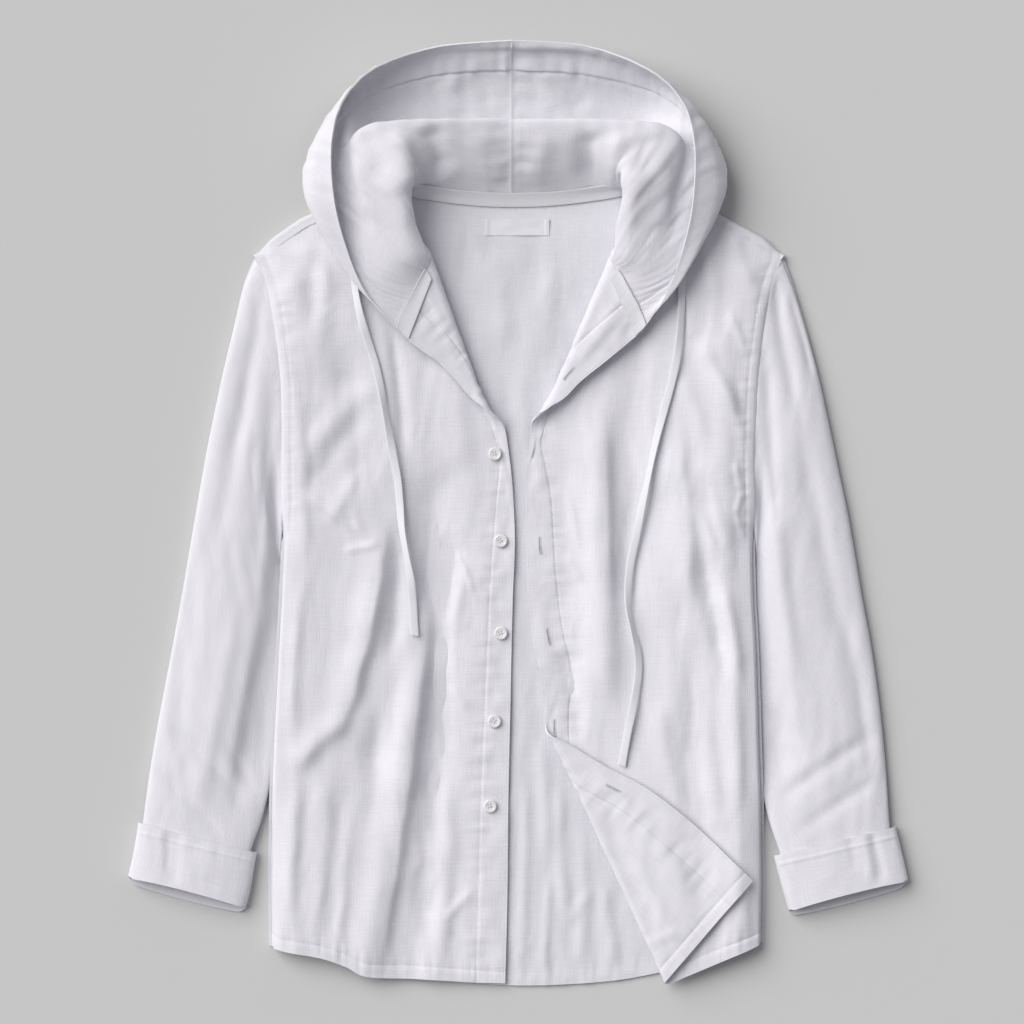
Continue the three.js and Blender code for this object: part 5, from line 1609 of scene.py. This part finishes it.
def slit(slits, centre, along, side, normal):
    """Narrow dark sheet in the middle of a buttonhole, painted shade of its opening, widest at its middle.
    """
    base = len(slits["points"])
    steps = 12
    half = BUTTONHOLE_LONG / 2 * 0.94
    for k in range(steps + 1):
        t = k / steps
        wide = 0.32 * np.sin(np.pi * mix(0.04, 0.96, t)) ** 0.5
        middle = centre + along * mix(-half, half, t) + normal * 0.06
        slits["points"] += [middle - side * wide, middle + side * wide, middle - normal * 0.3]
    for k in range(steps):
        a = base + 3 * k
        b = a + 3
        slits["faces"] += [(a, b, b + 1, a + 1), (a + 1, b + 1, b + 2, a + 2), (a + 2, b + 2, b, a)]
    last = base + 3 * steps
    slits["faces"] += [(base, base + 1, base + 2), (last + 2, last + 1, last)]


def buttonhole(sewing, slits, centre, along, normal):
    """Stitched slot: close stitches down both sides of a slit, a bar of them at each end, and painted
    shade in the slit.
    """
    side = np.cross(normal, along)
    count = 46
    half = BUTTONHOLE_LONG / 2
    for edge in (-1, 1):
        for k in range(count):
            t = mix(-half, half, (k + 0.5) / count)
            place = centre + along * t + side * edge * 0.95
            sewing.stitch(place, side, normal, 1.5, 0.42)
    for end in (-1, 1):
        for k in range(7):
            place = centre + along * end * (half + 0.15 * (k % 2)) + side * mix(-1.2, 1.2, k / 6)
            sewing.stitch(place, along, normal, 1.5, 0.42)
    slit(slits, centre, along, side, normal)


def buttonholes(grid, flat, from_edge):
    """Buttonholes up the left front, on both of its faces."""
    sewing = Sewing()
    slits = {"points": [], "faces": []}
    n = normals(grid)
    cols = where_level(from_edge, BUTTONHOLE_IN, 1)
    rows = np.arange(grid.shape[0], dtype=float)
    heights = sample(flat, rows, cols)[:, 1]
    for level in BUTTONHOLES:
        row = np.interp(level, heights, rows)
        row_ahead = row + 1.5
        col, col_ahead = np.interp([row, row_ahead], rows, cols)
        at, ahead = sample(grid, np.array([row, row_ahead]), np.array([col, col_ahead]))
        along = unit(ahead - at)
        up = sample(n, np.array([row]), np.array([col]))[0]
        up = unit(up - along * np.dot(up, along))
        for face in (1, -1):
            buttonhole(sewing, slits, at + up * face * (DOUBLED / 2 + 0.1), along, up * face)
    stitched = sewing.piece("buttonhole_stitching")
    return stitched, new_object("buttonhole_slits", slits["points"], slits["faces"], SLIT_SHADE)


def cord_route(side):
    """Route of a drawstring end, repeated from the part: points and twists."""
    rows = np.array(CORDS[side], float)
    lean = np.radians(rows[:, 3] * TWIST)
    sway = np.cos(np.arange(len(rows)) / len(rows) * 2 * np.pi * 1.6 + 2.6)
    half = np.hypot(CORD_WIDTH / 2 * np.sin(lean), CORD_THICK / 2 * np.cos(lean))
    ground = front_height(side, rows[:, 0], rows[:, 1])
    z = ground + 0.6 + half + rows[:, 2] - 1.7
    route = np.stack([SIGN[side] * rows[:, 0], rows[:, 1], z], -1)
    return route, -SIGN[side] * lean * sway * 1.1


def cord_section(count):
    """Section of the flat cord: places across it and through it, slightly dished on top."""
    angle = np.arange(count) / count * 2 * np.pi
    u = CORD_WIDTH / 2 * np.sign(np.cos(angle)) * np.abs(np.cos(angle)) ** 0.8
    v = CORD_FLAT / 2 * np.sign(np.sin(angle)) * np.abs(np.sin(angle)) ** 0.6
    dish = 0.12 * np.cos(u / CORD_WIDTH * 2 * np.pi * 2)
    return u, v + np.where(v > 0, dish, 0)


def cord_tube(line, turn, share, u, v):
    """Grid of a cord: its section carried along the line, turned, and cut aslant at the tip."""
    along = unit(np.gradient(line, axis=0))
    across = unit(np.stack([-along[:, 1], along[:, 0], 0 * along[:, 0]], -1))
    up = -np.cross(along, across)
    cu = u * np.cos(turn)[:, None] - v * np.sin(turn)[:, None]
    cv = u * np.sin(turn)[:, None] + v * np.cos(turn)[:, None]
    grid = line[:, None] + across[:, None] * cu[..., None] + up[:, None] * cv[..., None]
    slant = CORD_SLANT * u * ease(0.97, 1, share)[:, None]
    return grid + along[:, None] * slant[..., None]


def cord(side):
    """Flat braided drawstring end, twisting as it lies."""
    route, lean = cord_route(side)
    share = np.linspace(0, 1, 150)
    line = through(route, share)
    turn = through(lean[:, None], share)[:, 0]
    fine = front_fine(side, line[:, 0], line[:, 1])
    line[:, 2] += np.maximum(fine, 0) * 0.8
    count = 20
    u, v = cord_section(count)
    grid = cord_tube(line, turn, share, u, v)
    rows = len(line)
    points = np.concatenate([grid.reshape(-1, 3), line[:1], line[-1:]])
    index = np.arange(rows * count).reshape(rows, count)
    index = np.concatenate([index, index[:, :1]], 1)
    a, b, c, d = corners(index)
    faces = [tuple(f) for f in np.stack([a, d, c, b], 1)]
    for i in range(count):
        faces.append((rows * count, index[0, i], index[0, i + 1]))
        faces.append((rows * count + 1, index[-1, i + 1], index[-1, i]))
    lengths = np.concatenate([[0], np.cumsum(np.linalg.norm(np.diff(line, axis=0), axis=1))])
    uv_u = np.broadcast_to(u + CORD_WIDTH / 2, (rows, count))
    uv_v = np.broadcast_to(lengths[:, None], (rows, count))
    uv = np.stack([uv_u, uv_v], -1).reshape(-1, 2)
    uv = np.concatenate([uv, [[0, 0], [0, lengths[-1]]]]) * METRES
    piece = new_object(f"drawstring_end_{side}", points, faces, CORD_WEAVE, 60.0, uv)
    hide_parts(f"drawstring_{side}")
    path = ((line[::4] + ORIGIN) * METRES).tolist()
    end = ((line[-1] + ORIGIN) * METRES).tolist()
    if path[-1] != end:
        path.append(end)


def camera():
    """Long lens straight above, framed as the photograph is."""
    centre_x = (PHOTO_SIZE / 2 - PHOTO_ZERO[0]) * PIXEL
    centre_y = (PHOTO_ZERO[1] - PHOTO_SIZE / 2) * PIXEL
    data = bpy.data.cameras.new("camera")
    data.sensor_width = 36.0
    data.lens = data.sensor_width * (CAMERA_HIGH - CLOTH_HIGH) / (PHOTO_SIZE * PIXEL * METRES)
    data.clip_end = 30.0
    holder = bpy.data.objects.new("camera", data)
    holder.location = (
        (centre_x + ORIGIN[0]) * METRES,
        (centre_y + ORIGIN[1]) * METRES,
        CAMERA_HIGH)
    bpy.context.scene.collection.objects.link(holder)
    bpy.context.scene.camera = holder


def lights():
    """Broad even key from the upper left, low enough to rake the folds, and a pale fill."""
    data = bpy.data.lights.new("key", "SUN")
    data.energy = KEY_STRENGTH
    data.angle = np.radians(KEY_SPREAD)
    data.color = (1.0, 0.99, 0.975)
    holder = bpy.data.objects.new("key", data)
    holder.rotation_euler = Vector(KEY_TOWARDS).to_track_quat("-Z", "Y").to_euler()
    bpy.context.scene.collection.objects.link(holder)
    world = bpy.data.worlds.new("studio")
    bpy.context.scene.world = world
    world.use_nodes = True
    background = world.node_tree.nodes["Background"]
    background.inputs["Color"].default_value = (0.93, 0.935, 1.0, 1)
    background.inputs["Strength"].default_value = FILL_STRENGTH


def floor():
    """Plain pale grey surface under the shirt."""
    material, _ = grained(
        "floor_grey", (0.6, 0.6, 0.595), 0.9, (0.59, 0.59, 0.583), (0.61, 0.61, 0.603),
        Scale=900.0, Detail=2.0)
    size = 6.0
    mesh = bpy.data.meshes.new("floor")
    corners = [(-size, -size, 0), (size, -size, 0), (size, size, 0), (-size, size, 0)]
    mesh.from_pydata(corners, [], [(0, 1, 2, 3)])
    mesh.materials.append(material)
    ground = bpy.data.objects.new("floor", mesh)
    bpy.context.scene.collection.objects.link(ground)


def dress_half(side):
    """One half's front, sleeve, cuff, hood and lapel tape."""
    front_piece, grid, flat, from_edge, stitching = front(side)
    extras = [stitching]
    if side == "left":
        extras += buttonholes(grid, flat, from_edge)
    sleeve_piece = sleeve(side)
    cuff_piece, stitching = cuff(side)
    hood_piece, stitching = hood(side)
    tape, stitching = lapel_tape(side)


def dress():
    """The whole shirt, from the back up to the buttons."""
    back_piece, stitching = back()
    for side in ("right", "left"):
        dress_half(side)
    for piece, stitching in (back_tape(), label()):
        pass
    buttons()


bpy.context.scene.view_settings.view_transform = "Standard"
camera()
for cord_side in ("right", "left"):
    cord(cord_side)
lights()
floor()
dress()
